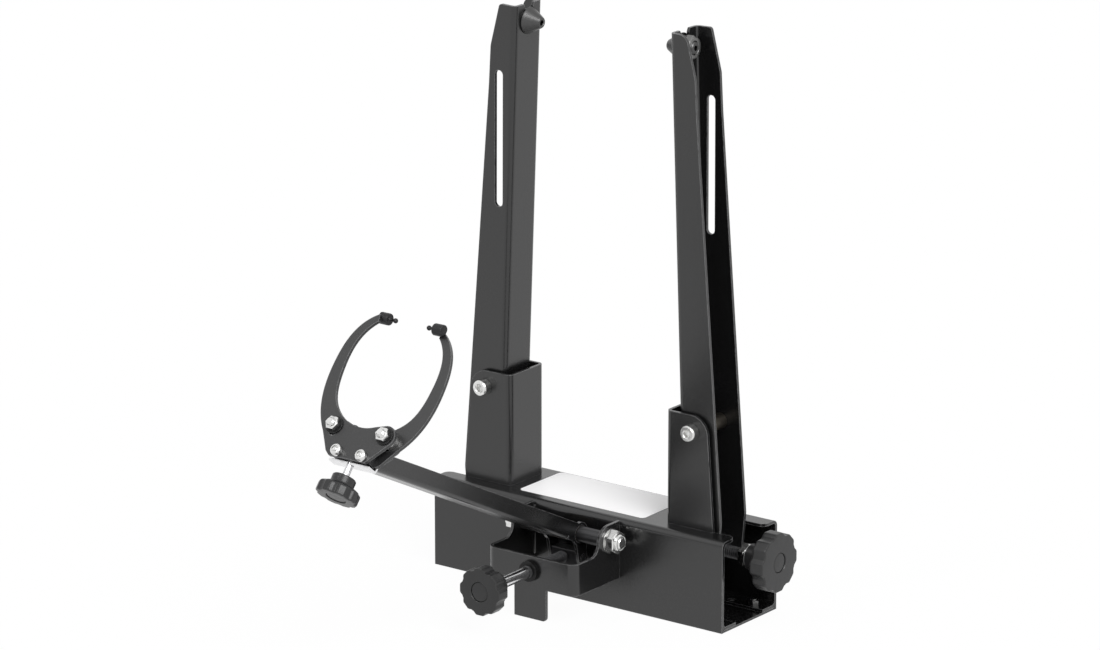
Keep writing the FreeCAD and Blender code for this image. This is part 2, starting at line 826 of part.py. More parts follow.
# ================================================================ caliper arm
# Arm frame: origin on the pivot, the arm runs along -Y before it is tilted up to meet the head.
arm2_rise = head_height - caliper_pivot_height
arm2_run = head_reach + caliper_pivot_y
arm2_angle = degrees(atan2(arm2_rise, arm2_run))
arm2_blank = sqrt(arm2_rise ** 2 + arm2_run ** 2) + arm2_height
caliper_arm_place = Placement(on_caliper_pivot(0), Rotation(X_AXIS, -arm2_angle))
head_place = Placement(Vector(0, -head_reach, head_height), Rotation(X_AXIS, head_tilt))
caliper_depth = 2 * caliper_sheet + caliper_gap
carrier_front = -caliper_depth - carrier_clearance
carrier_back = carrier_front - carrier_sheet
lever_drop = caliper_pivot_height - adjuster_height
lever_length = lever_drop / cos(radians(lever_tilt))


def caliper_arm():
    """Channel open at the top; its flanges reach below the pivot as two lever ears."""
    low = -arm2_height / 2
    half = arm2_width / 2
    section = outline([
        (-half, -low, 0), (-half, low, arm2_bend + arm2_sheet), (half, low, arm2_bend + arm2_sheet),
        (half, -low, 0), (half - arm2_sheet, -low, 0), (half - arm2_sheet, low + arm2_sheet, arm2_bend),
        (-half + arm2_sheet, low + arm2_sheet, arm2_bend), (-half + arm2_sheet, -low, 0),
    ], lambda p: Vector(p.x, -arm2_web_start, p.y))
    run = Part.Face(section).extrude(Vector(0, arm2_web_start - arm2_blank, 0))
    ears = []
    for side in (1, -1):
        walls = sorted((side * half, side * (half - arm2_sheet)))
        ears.append(lever_ear(walls[0], walls[1]))
    arm = fuse(run, *ears)
    arm = arm.cut(rod(Vector(-arm2_width, 0, 0), X_AXIS, arm_sleeve_radius + seat_fit, 2 * arm2_width))
    arm = placed(arm, caliper_arm_place)
    ahead = box(-arm2_width, arm2_width, -arm2_blank, arm2_blank, carrier_back, arm2_blank)
    return arm.cut(placed(ahead, head_place)).cut(lever_slots())


def lever_ear(x0, x1):
    """Flange plate around the pivot with its lever leg; drawn in the arm frame."""
    low = -arm2_height / 2
    disc = rod(Vector(x0, 0, 0), X_AXIS, arm2_tail, x1 - x0)
    strip = box(x0, x1, -arm2_web_start, 0, low, -low)
    reach = lever_length + lever_half_width + lever_slot_room
    leg = plate_yz([(-lever_half_width, -reach, lever_half_width - sliver),
                    (lever_half_width, -reach, lever_half_width - sliver),
                    (lever_half_width + 2, 0, 0), (-lever_half_width - 2, 0, 0)], x0, x1)
    leg = placed(leg, Placement(Vector(), Rotation(X_AXIS, arm2_angle + lever_tilt)))
    return fuse(disc, strip, leg)


def lever_slots():
    """Slots for the swivel block's pins, along the line from the pivot to the pins."""
    half = lever_pin_radius + slot_fit
    low = -lever_length - half - lever_slot_room
    high = -lever_length + half + lever_slot_room / 3
    slot = plate_yz(round_ends(-half, half, low, high, half), -arm2_width, arm2_width)
    return placed(slot, Placement(on_caliper_pivot(0), Rotation(X_AXIS, lever_tilt)))


def caliper_arm_sleeve():
    half = arm2_width / 2
    return tube(on_caliper_pivot(-half), X_AXIS, arm_sleeve_radius, caliper_bolt_radius + running_fit,
                arm2_width)


# ================================================================ height adjuster
swivel_y = caliper_pivot_y + lever_drop * tan(radians(lever_tilt))


def on_adjuster(y):
    return Vector(0, y, adjuster_height)


def adjuster_bush():
    """Threaded bush through the front wall, its flange on the outer face."""
    outside = on_adjuster(front_face - adjuster_bush_flange)
    flange = rod(outside, Y_AXIS, adjuster_bush_radius, adjuster_bush_flange)
    body = rod(on_adjuster(front_face), Y_AXIS, adjuster_bush_body, front_sheet + adjuster_bush_nut)
    bore = rod(outside, Y_AXIS, adjuster_radius + running_fit,
               adjuster_bush_flange + front_sheet + adjuster_bush_nut)
    return fuse(flange, body).cut(bore)


def adjuster_bush_nut_ring():
    return tube(on_adjuster(front_face + front_sheet), Y_AXIS, adjuster_bush_radius + 1,
                adjuster_bush_body + seat_fit, adjuster_bush_nut - 1)


def adjuster_swivel():
    """Block that turns on the screw's neck and carries the two lever pins."""
    half_x = arm2_width / 2 - arm2_sheet - slot_fit
    outer = swivel_y - swivel_length / 2
    inner = swivel_y + swivel_length / 2
    low = adjuster_height - swivel_height / 2
    high = adjuster_height + swivel_height / 2
    block = plate_yz([(outer, low, 1), (inner, low, 1), (inner, high, 1), (outer, high, 1)], -half_x, half_x)
    reach = arm2_width / 2 + lever_pin_proud
    pins = rod(Vector(-reach, swivel_y, adjuster_height), X_AXIS, lever_pin_radius, 2 * reach)
    neck = rod(on_adjuster(outer), Y_AXIS, adjuster_neck_radius + running_fit, swivel_length)
    return fuse(block, pins).cut(neck)


def adjuster_screw():
    """Screw with a turned neck for the swivel block at its inner end."""
    knob_seat = adjuster_knob_start()
    shoulder = swivel_y - swivel_length / 2 - side_fit
    start = knob_seat - height_knob_hub - height_knob_disc / 2
    shank = rod(on_adjuster(start), Y_AXIS, adjuster_radius, shoulder - start)
    neck_end = swivel_y + swivel_length / 2 + side_fit + swivel_collar
    neck = rod(on_adjuster(shoulder), Y_AXIS, adjuster_neck_radius, neck_end - shoulder)
    return fuse(shank, neck)


def adjuster_collar():
    start = swivel_y + swivel_length / 2 + side_fit
    return tube(on_adjuster(start), Y_AXIS, adjuster_radius, adjuster_neck_radius + seat_fit,
                swivel_collar - part_gap)


def adjuster_knob_start():
    return base_front - adjuster_knob_face + height_knob_hub + height_knob_disc


def adjuster_knob():
    knob = hand_knob(height_knob_radius, height_knob_disc, height_knob_hub_radius, height_knob_hub,
                     adjuster_radius + seat_fit, height_knob_hub + height_knob_disc / 2 + side_fit)
    return placed(knob, along(on_adjuster(adjuster_knob_start()), -Y_AXIS))


def adjuster_knob_cap():
    cap = knob_cap(height_knob_hub, height_knob_disc)
    return placed(cap, along(on_adjuster(adjuster_knob_start()), -Y_AXIS))


# ================================================================ caliper head
# Head frame: x across, y up along the calipers, z out of the front caliper's face (z = 0).
def smooth(points):
    curve = Part.BSplineCurve()
    curve.interpolate([Vector(x, y, 0) for x, y in points])
    return curve.toShape()


def on_lobe(angle):
    return Vector(caliper_pivot_x + lobe_radius * cos(radians(angle)),
                  caliper_pivot_v + lobe_radius * sin(radians(angle)), 0)


def hook_face():
    """Outline of a caliper: hook on the left, lobe round its own pivot on the right."""
    tip_far = -tip_gap / 2 - tip_pin_length - tip_barrel_length
    end = (tip_far + hook_end_inset, tip_height + hook_end_rise)
    nose = (tip_far + hook_nose_inset, tip_height - hook_nose_drop)
    shoulder = (-hook_shoulder_x, hook_shoulder_v)
    lip = (crook_lip_x, crook_lip_v)
    outer = [shoulder, (-hook_calf_x, hook_calf_v), (-hook_knee_x, hook_knee_v), (-hook_brow_x, hook_brow_v), end]
    inner = [nose, (-crook_top_x, crook_top_v), (-crook_deep_x, crook_deep_v), (-crook_low_x, crook_low_v),
             (-crook_floor_x, crook_floor_v), lip]
    foot_right = Vector(foot_right_x, -caliper_foot, 0)
    foot_left = Vector(-foot_left_x, -caliper_foot, 0)
    heel = Vector(-heel_x, -heel_drop, 0)
    upper = on_lobe(lobe_upper_angle)
    lower = on_lobe(lobe_lower_angle)
    edges = [
        smooth(outer),
        Part.LineSegment(Vector(*end, 0), Vector(*nose, 0)).toShape(),
        smooth(inner),
        Part.LineSegment(Vector(*lip, 0), upper).toShape(),
        Part.Arc(upper, on_lobe((lobe_upper_angle + lobe_lower_angle) / 2), lower).toShape(),
        Part.LineSegment(lower, foot_right).toShape(),
        Part.LineSegment(foot_right, foot_left).toShape(),
        Part.LineSegment(foot_left, heel).toShape(),
        Part.LineSegment(heel, Vector(*shoulder, 0)).toShape(),
    ]
    return Part.Face(Part.Wire(edges))


def hook_plate():
    """Caliper lying behind the local XY plane, its front face at z = 0."""
    plate = hook_face().extrude(Vector(0, 0, -caliper_sheet))
    own = Vector(caliper_pivot_x, caliper_pivot_v, -caliper_sheet)
    plate = plate.cut(rod(own, Z_AXIS, head_bolt_radius + running_fit, caliper_sheet))
    for x in (-drive_pin_x, drive_pin_x):
        hole = rod(Vector(x, 0, -caliper_sheet), Z_AXIS, drive_pin_radius + seat_fit, caliper_sheet)
        plate = plate.cut(hole)
    return plate.cut(other_bolt_slot())


def other_bolt_slot():
    """Arc slot for the other caliper's pivot bolt, centred on this caliper's own pivot."""
    own = Vector(caliper_pivot_x, caliper_pivot_v, -caliper_sheet)
    reach = 2 * caliper_pivot_x
    half = head_bolt_radius + drive_pin_fit
    down = head_bolt_closing / reach
    up = head_bolt_opening / reach
    ring = tube(own, Z_AXIS, reach + half, reach - half, caliper_sheet)
    far = 2 * reach
    wedge = Part.makePolygon([own, own + Vector(-far * cos(up), far * sin(up), 0),
                              own + Vector(-far * cos(down), -far * sin(down), 0), own])
    slot = ring.common(Part.Face(wedge).extrude(Vector(0, 0, caliper_sheet)))
    for swing in (up, -down):
        end = own + Vector(-reach * cos(swing), reach * sin(swing), 0)
        slot = slot.fuse(rod(end, Z_AXIS, half, caliper_sheet))
    return slot


# The right caliper is the left one turned half round about the middle of the head.
left_caliper_place = head_place
right_caliper_place = head_place.multiply(
    Placement(Vector(0, 0, -caliper_depth), Rotation(Y_AXIS, 180)))


def round_screw(start, length):
    """Low round head with a raised centre post; start is the seat, the shank runs along -z."""
    edge = drive_head_edge
    head = rod(start, Z_AXIS, drive_head_radius, drive_head_height - edge)
    rim = Part.makeCone(drive_head_radius, drive_head_radius - edge, edge,
                        start + Z_AXIS * (drive_head_height - edge), Z_AXIS)
    recess = tube(start + Z_AXIS * (drive_head_height - drive_recess_depth), Z_AXIS,
                  drive_post_radius + drive_recess_width, drive_post_radius, drive_recess_depth)
    return fuse(head, rim, rod(start, -Z_AXIS, drive_pin_radius, length)).cut(recess)


def left_caliper_screws():
    """The left screw drives the front caliper; the right one closes the plate's spare hole."""
    drive = round_screw(Vector(-drive_pin_x, 0, 0), caliper_sheet + part_gap + yoke_pocket - side_fit)
    spare = round_screw(Vector(drive_pin_x, 0, 0), caliper_sheet)
    return placed(Part.makeCompound([drive, spare]), head_place)


def right_caliper_pin():
    length = caliper_sheet + part_gap + yoke_pocket - side_fit
    return placed(rod(Vector(-drive_pin_x, 0, 0), -Z_AXIS, drive_pin_radius, length), right_caliper_place)


def caliper_yoke():
    """Sliding block between the calipers with a cross pocket for each drive pin."""
    front = -caliper_sheet - part_gap
    back = -caliper_depth + caliper_sheet + part_gap
    half = yoke_width / 2
    block = plate_xy([(-half, -yoke_low, 1), (half, -yoke_low, 1), (half, yoke_high, yoke_corner),
                      (-half, yoke_high, yoke_corner)], back, front)
    radius = drive_pin_radius + drive_pin_fit
    for side in (-1, 1):
        ends = sorted((side * (drive_pin_x - pocket_inward), side * (drive_pin_x + pocket_outward)))
        level = front - yoke_pocket if side < 0 else back
        pocket = round_ends(ends[0] - radius, ends[1] + radius, -radius, radius, radius)
        block = block.cut(plate_xy(pocket, level, level + yoke_pocket))
    window_low = yoke_sill - yoke_low
    window_high = window_low + caliper_collar_length + 2 * side_fit
    window = box(-yoke_window, yoke_window, window_low, window_high, back, front)
    neck = rod(on_caliper_screw(-yoke_low - 1), Y_AXIS, caliper_neck_radius + running_fit,
               window_low + yoke_low + 1)
    return placed(block.cut(window).cut(neck), head_place)


def caliper_tip():
    """Barrel whose flat sits on the hook's end, with a pin towards the rim; drawn for the left caliper."""
    level = -caliper_depth / 2
    near = tip_gap / 2 + tip_pin_length
    start = Vector(-near, tip_height, level)
    edge = edge_break
    length = tip_barrel_length
    barrel = rod(start - X_AXIS * edge, -X_AXIS, tip_barrel_radius, length - 2 * edge)
    inner_rim = Part.makeCone(tip_barrel_radius - edge, tip_barrel_radius, edge, start, -X_AXIS)
    outer_rim = Part.makeCone(tip_barrel_radius, tip_barrel_radius - edge, edge,
                              start - X_AXIS * (length - edge), -X_AXIS)
    point = tip_pin_radius / 2
    pin = rod(start, X_AXIS, tip_pin_radius, tip_pin_length - point)
    nose = Part.makeCone(tip_pin_radius, point, point, start + X_AXIS * (tip_pin_length - point), X_AXIS)
    flat = box(-near - length - 1, -near - length + tip_flat_length, tip_height - 2 * tip_barrel_radius,
               tip_height + 2 * tip_barrel_radius, -caliper_sheet - seat_fit, 0)
    return fuse(barrel, inner_rim, outer_rim, pin, nose).cut(flat)


def carrier():
    """Bent bracket on the arm's end that carries the pivot bolts and the adjusting screw."""
    x = caliper_pivot_x
    lobe = lobe_radius - 1
    inner = carrier_floor_width / 2
    plate = plate_xy([
        (-inner, 0, 0), (inner, 0, 0), (x + lobe, caliper_pivot_v - lobe + 2, lobe - 2),
        (x + lobe, caliper_pivot_v + lobe, lobe - 1), (x - lobe - 3, caliper_pivot_v + lobe, 5),
        (x - lobe - 8, caliper_pivot_v + 1, 5), (-x + lobe + 8, caliper_pivot_v + 1, 5),
        (-x + lobe + 3, caliper_pivot_v + lobe, 5), (-x - lobe, caliper_pivot_v + lobe, lobe - 1),
        (-x - lobe, caliper_pivot_v - lobe + 2, lobe - 2),
    ], carrier_back, carrier_front)
    low = -carrier_floor - carrier_sheet
    fold = plate_yz([
        (low, -carrier_floor_front, 0), (-carrier_floor, -carrier_floor_front, 0),
        (-carrier_floor, carrier_front, carrier_bend), (1, carrier_front, 0), (1, carrier_back, 0),
        (low, carrier_back, carrier_bend + carrier_sheet),
    ], -inner, inner)
    body = fuse(plate, fold)
    for side in (1, -1):
        seat = Vector(side * x, caliper_pivot_v, carrier_back)
        body = body.cut(rod(seat, Z_AXIS, head_bolt_radius + seat_fit, carrier_sheet))
    hole = rod(on_caliper_screw(low - 1), Y_AXIS, caliper_screw_radius + running_fit, carrier_sheet + 2)
    body = body.cut(hole)
    return placed(fuse(body, *carrier_cheeks()), head_place)


def carrier_cheeks():
    """Gussets outside the arm's flanges that join the carrier to the arm."""
    cheeks = []
    for side in (1, -1):
        walls = sorted((side * (arm2_width / 2 + seat_fit), side * (arm2_width / 2 + carrier_sheet)))
        cheeks.append(plate_yz([
            (-carrier_floor, carrier_front - 1, 0), (cheek_rise, carrier_front - 1, 0),
            (cheek_rise, -cheek_reach, 0), (cheek_rise - 2, -cheek_reach, 0),
            (-carrier_floor, carrier_back + edge_break, 0),
        ], walls[0], walls[1]))
    return cheeks


def head_bolts():
    """Two pivot bolts, heads behind the carrier."""
    length = -carrier_back + head_washer_sheet + head_nut_height + head_bolt_end
    seats = [Vector(side * caliper_pivot_x, caliper_pivot_v, carrier_back) for side in (1, -1)]
    bolts = [cap_screw(seat, Z_AXIS, head_bolt_radius, length, head_screw_radius, head_screw_head,
                       head_screw_flats) for seat in seats]
    return placed(Part.makeCompound(bolts), head_place)


def head_rings(start, thickness):
    """A ring round each pivot bolt, from start outwards."""
    rings = [tube(Vector(side * caliper_pivot_x, caliper_pivot_v, start), Z_AXIS, head_washer_radius,
                  head_bolt_radius + seat_fit, thickness) for side in (1, -1)]
    return placed(Part.makeCompound(rings), head_place)


def head_nuts():
    seats = [Vector(side * caliper_pivot_x, caliper_pivot_v, head_washer_sheet) for side in (1, -1)]
    nuts = [lock_nut(head_nut_flats, head_bolt_radius + seat_fit, seat, Z_AXIS, head_nut_height)
            for seat in seats]
    return placed(Part.makeCompound(nuts), head_place)


def on_caliper_screw(v):
    return Vector(0, v, -caliper_depth / 2)


def caliper_screw():
    shoulder = -yoke_low - side_fit
    bottom = -caliper_hub_start - caliper_knob_hub - caliper_knob_disc / 2
    shank = rod(on_caliper_screw(bottom), Y_AXIS, caliper_screw_radius, shoulder - bottom)
    neck_top = collar_level() + caliper_collar_length
    neck = rod(on_caliper_screw(shoulder), Y_AXIS, caliper_neck_radius, neck_top - shoulder)
    return placed(fuse(shank, neck), head_place)


def collar_level():
    """Underside of the retaining collar inside the yoke's window."""
    return yoke_sill - yoke_low + side_fit


def caliper_screw_collar():
    return placed(tube(on_caliper_screw(collar_level()), Y_AXIS, caliper_collar_radius,
                       caliper_neck_radius + seat_fit, caliper_collar_length), head_place)


def caliper_knob():
    knob = hand_knob(caliper_knob_radius, caliper_knob_disc, caliper_knob_hub_radius, caliper_knob_hub,
                     caliper_screw_radius + seat_fit, caliper_knob_hub + caliper_knob_disc / 2 + side_fit)
    return placed(knob, head_place.multiply(along(on_caliper_screw(-caliper_hub_start), -Y_AXIS)))


def caliper_knob_cap():
    cap = knob_cap(caliper_knob_hub, caliper_knob_disc)
    return placed(cap, head_place.multiply(along(on_caliper_screw(-caliper_hub_start), -Y_AXIS)))


# ================================================================ all nodes
nodes = {
    "base_body": base_body(),
    "base_floor": base_floor(),
    "floor_screws": floor_screws(),
    "floor_nuts": floor_nuts(),
    "right_bracket": right_bracket(),
    "left_bracket": placed(right_bracket(), HALF_TURN),
    "front_bracket": front_bracket(),
    "pivot_bolts": pivot_bolts(),
    "pivot_nuts": pivot_nuts(),
    "pivot_washers": pivot_washers(),
    "spindle_bearing_bracket": spindle_bearing_bracket(),
    "spindle_bush": spindle_bush(),
    "spindle": spindle(),
    "spindle_collars": spindle_collars(),
    "spindle_lock_nut": spindle_lock_nut(),
    "spindle_washer": spindle_washer(),
    "width_knob": width_knob(),
    "width_knob_cap": width_knob_cap(),
    "right_trunnion_nut": trunnion_nut(1),
    "left_trunnion_nut": trunnion_nut(-1),
    "caliper_pivot_bolt": caliper_pivot_bolt(),
    "caliper_pivot_nut": caliper_pivot_nut(),
    "caliper_pivot_washers": caliper_pivot_washers(),
    "caliper_pivot_spacers": caliper_pivot_spacers(),
    "adjuster_bush": adjuster_bush(),
    "adjuster_bush_nut": adjuster_bush_nut_ring(),
    "adjuster_swivel": adjuster_swivel(),
    "adjuster_screw": adjuster_screw(),
    "adjuster_collar": adjuster_collar(),
    "adjuster_knob": adjuster_knob(),
    "adjuster_knob_cap": adjuster_knob_cap(),
    "caliper_arm": caliper_arm(),
    "caliper_arm_sleeve": caliper_arm_sleeve(),
    "caliper_carrier": carrier(),
    "head_bolts": head_bolts(),
    "head_washers": head_rings(side_fit, head_washer_sheet - side_fit),
    "head_spacers": head_rings(-caliper_sheet - caliper_gap + side_fit, caliper_gap - 2 * side_fit),
    "head_nuts": head_nuts(),
    "left_caliper": placed(hook_plate(), left_caliper_place),
    "right_caliper": placed(hook_plate(), right_caliper_place),
    "left_caliper_screws": left_caliper_screws(),
    "right_caliper_pin": right_caliper_pin(),
    "left_tip": placed(caliper_tip(), left_caliper_place),
    "right_tip": placed(caliper_tip(), right_caliper_place),
    "caliper_yoke": caliper_yoke(),
    "caliper_screw": caliper_screw(),
    "caliper_screw_collar": caliper_screw_collar(),
    "caliper_knob": caliper_knob(),
    "caliper_knob_cap": caliper_knob_cap(),
}

for side, place in (("right", right_arm_place), ("left", left_arm_place)):
    nodes[side + "_arm"] = placed(arm_channel(), place)
    nodes[side + "_arm_sleeve"] = placed(arm_sleeve(), place)
    nodes[side + "_cone"] = placed(arm_cone(), place)
    nodes[side + "_cone_washer"] = placed(arm_cone_washer(), place)
    nodes[side + "_cone_nut"] = placed(arm_cone_nut(), place)

os.makedirs("parts", exist_ok=True)
for name in sorted(nodes):
    shape = nodes[name]
    shape.exportStep("parts/" + name + ".step")
    print(name, len(shape.Solids), round(shape.Volume), shape.isValid())
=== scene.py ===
import json
from math import atan2, cos, pi, radians, sin

import bmesh
import bpy
from mathutils import Matrix, Vector


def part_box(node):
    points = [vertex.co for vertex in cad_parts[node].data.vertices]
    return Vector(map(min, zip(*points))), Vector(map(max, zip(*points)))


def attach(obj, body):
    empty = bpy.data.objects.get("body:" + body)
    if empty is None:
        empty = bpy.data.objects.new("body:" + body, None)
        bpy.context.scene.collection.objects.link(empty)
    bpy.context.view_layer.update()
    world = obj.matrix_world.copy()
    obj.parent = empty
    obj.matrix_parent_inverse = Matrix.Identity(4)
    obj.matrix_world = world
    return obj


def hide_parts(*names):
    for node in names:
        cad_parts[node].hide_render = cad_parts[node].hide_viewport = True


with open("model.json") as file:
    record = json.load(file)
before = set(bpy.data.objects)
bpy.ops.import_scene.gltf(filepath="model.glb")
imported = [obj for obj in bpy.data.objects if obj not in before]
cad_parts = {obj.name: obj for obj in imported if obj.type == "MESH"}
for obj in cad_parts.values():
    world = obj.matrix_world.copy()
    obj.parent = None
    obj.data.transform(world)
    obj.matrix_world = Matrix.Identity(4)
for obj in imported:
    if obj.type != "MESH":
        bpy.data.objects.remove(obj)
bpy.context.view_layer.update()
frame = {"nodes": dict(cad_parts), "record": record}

bl_info = {
    "name": "Wheel truing stand",
    "version": (1, 0, 0),
    "blender": (4, 5, 0),
    "location": "3D View > Sidebar > Stand",
    "description": "Dresses the frame of a wheel truing stand with coatings, fasteners, knobs and a studio",
    "category": "Object",
}

NODES = frame["nodes"]
BODY_OF = {node: body for body, nodes in frame["record"]["behaviour"]["bodies"].items() for node in nodes}
SLOT_OF = {subpart["node"]: subpart["material_slot"] for subpart in frame["record"]["subparts"]}
# The table gives this node another slot than the record does.
# The head washers are zinc; the black slot given here, like their black finish, stands for the shade round
# the bases of the head nuts.
SLOT_OF["head_washers"] = "dark_steel"
MM = 0.001
FINISH = "_finish"

# Outlines that a turned ring may have.
ROUND = "round"
HEX = "hex"
LOBED = "lobed"
KNOB_LOBES = 8
# A lobe is straight over this share of its width, at this share of the knob's radius. A lower
# VALLEY_SHAPE makes the valleys wider.
LOBE_SHARE = 0.38
LOBE_TOP = 0.978
VALLEY_SHAPE = 0.8
# Points nearer to each other than this, in metres, become one.
NODE_WELD = 2e-6
THREAD_WELD = 1e-6

RIGHT = Vector((1, 0, 0))
REAR = Vector((0, 1, 0))
UP = Vector((0, 0, 1))


# ---- sizes and colours
LENGTH = {"unit": "LENGTH"}
WAY = {"subtype": "XYZ"}
ANGLE = {"subtype": "ANGLE"}
TURN = {"subtype": "EULER", "unit": "ROTATION"}
SHARE = {"subtype": "FACTOR", "min": 0, "max": 1}
STRENGTH = {"min": 0}
COLOUR = {"subtype": "COLOR", "min": 0, "max": 1}


def setting(kind, name, description, *default):
    """A number or a vector that a user can change."""
    if len(default) == 1:
        return bpy.props.FloatProperty(name=name, description=description, default=default[0], **kind)
    return bpy.props.FloatVectorProperty(name=name, description=description, default=default,
                                         size=len(default), **kind)


class StandSizes(bpy.types.PropertyGroup):
    """Sizes of the details that the dressing adds to the frame."""

    cut_edge: setting(LENGTH, "Cut edge", "Rounding of the cut edges under the powder coat", 0.0004)
    knob_rim: setting(LENGTH, "Knob rim", "Rounding of the rims of the hand knobs", 0.0013)
    lobe_depth: setting(SHARE, "Lobe depth", "Depth of a knob's valleys as a share of its radius", 0.15)
    thread_depth: setting(SHARE, "Thread depth", "Depth of a screw thread as a share of its pitch", 0.5)
    label_start: setting(LENGTH, "Label start", "Front left corner of the label on the base", -0.0665, -0.025)
    label_end: setting(LENGTH, "Label end", "Rear right corner of the label on the base", 0.057, 0.032)
    label_corner: setting(LENGTH, "Label corner", "Radius of the label's corners", 0.004)
    label_thickness: setting(LENGTH, "Label thickness", "Thickness of the label", 0.0002)
    weld_radius: setting(LENGTH, "Weld radius", "Radius of the weld beads", 0.0016)


class StandColours(bpy.types.PropertyGroup):
    """Colours and gloss of the finishes."""

    coat: setting(COLOUR, "Powder coat", "Colour of the powder coat on the sheet metal", 0.004, 0.004, 0.0042)
    coat_gloss: setting(SHARE, "Coat gloss", "Specular level of the powder coat", 0.72)
    coat_roughness: setting(SHARE, "Coat roughness", "Roughness of the powder coat", 0.25)
    # The paler coat on the cut edges is partly wear and partly a painted highlight.
    worn_coat_and_painted_highlight: setting(COLOUR, "Worn coat", "Colour of the coat where it is thin on the cut edges",
                       0.21, 0.21, 0.215)
    caliper_coat: setting(COLOUR, "Caliper coat", "Colour of the duller coat on the caliper plates",
                          0.014, 0.014, 0.0145)
    plastic: setting(COLOUR, "Knob plastic", "Colour of the moulded knobs", 0.012, 0.012, 0.0125)
    zinc: setting(COLOUR, "Zinc", "Colour of the plated fasteners", 0.76, 0.76, 0.75)
    turned: setting(COLOUR, "Turned steel", "Colour of the axle cones", 0.11, 0.11, 0.11)
    chrome: setting(COLOUR, "Chrome", "Colour of the bright screws", 0.8, 0.8, 0.81)
    # This colour also darkens the chrome height screw's thread inside the bracket, as painted shade.
    black_oxide_and_painted_shade: setting(COLOUR, "Blackened steel", "Colour of the blackened steel", 0.05, 0.05, 0.052)
    # This colour also goes on the zinc head washers, as painted shade round the head nuts.
    black_bush_and_painted_shade: setting(COLOUR, "Oiled black steel", "Colour of the oiled bushes and their nuts",
                        0.012, 0.012, 0.012)
    bronze: setting(COLOUR, "Bronze", "Colour of the sintered bushes", 0.12, 0.108, 0.09)
    label: setting(COLOUR, "Label", "Colour of the blank label", 0.93, 0.925, 0.93)
    nylon: setting(COLOUR, "Nylon", "Colour of the nylon rings in the self-locking nuts", 0.55, 0.56, 0.55)


class StageSettings(bpy.types.PropertyGroup):
    """Camera, light and floor."""

    camera_place: setting(LENGTH, "Camera place", "Where the camera stands", 2.49871, -3.40607, 1.45327)
    camera_turn: setting(TURN, "Camera turn", "How the camera is turned", radians(73.706), 0, radians(36.848))
    camera_lens: setting({}, "Lens", "Focal length in millimetres on a 36 mm sensor", 181.75)
    floor_size: setting(LENGTH, "Floor size", "Width of the floor", 60)
    floor_glow: setting(SHARE, "Floor glow", "Share of the floor's white that no lamp changes", 0.96)
    ambient: setting(STRENGTH, "Ambient", "Strength of the surrounding light", 0.55)
    key_strength: setting(STRENGTH, "Key strength", "Strength of the key lamp", 2.3)
    key_from: setting(WAY, "Key from", "Way from the stand to the key lamp", 0.66, -0.34, 0.67)
    key_spread: setting(ANGLE, "Key spread", "Apparent width of the key lamp", radians(36))
    fill_strength: setting(STRENGTH, "Fill strength", "Strength of the fill lamp", 0.4)
    fill_from: setting(WAY, "Fill from", "Way from the stand to the fill lamp", -0.25, -0.62, 0.74)
    fill_spread: setting(ANGLE, "Fill spread", "Apparent width of the fill lamp", radians(14))


# ---- shader expressions
class Amount:
    """A number that varies over a surface. Used in an expression, it adds the Math nodes."""

    def __init__(self, finish, socket):
        self.finish = finish
        self.socket = socket

    def maths(self, operation, *values):
        return self.finish.number("ShaderNodeMath", dict(enumerate(values)), operation=operation)

    def __add__(self, other):
        return self.maths("ADD", self, other)

    def __sub__(self, other):
        return self.maths("SUBTRACT", self, other)

    def __rsub__(self, other):
        return self.maths("SUBTRACT", other, self)

    def __mul__(self, other):
        return self.maths("MULTIPLY", self, other)

    __radd__ = __add__
    __rmul__ = __mul__

    def within(self, low, high):
        """Rises smoothly from 0 to 1 between low and high."""
        return self.finish.number("ShaderNodeMapRange", {"Value": self, "From Min": low, "From Max": high},
                                  interpolation_type="SMOOTHSTEP")


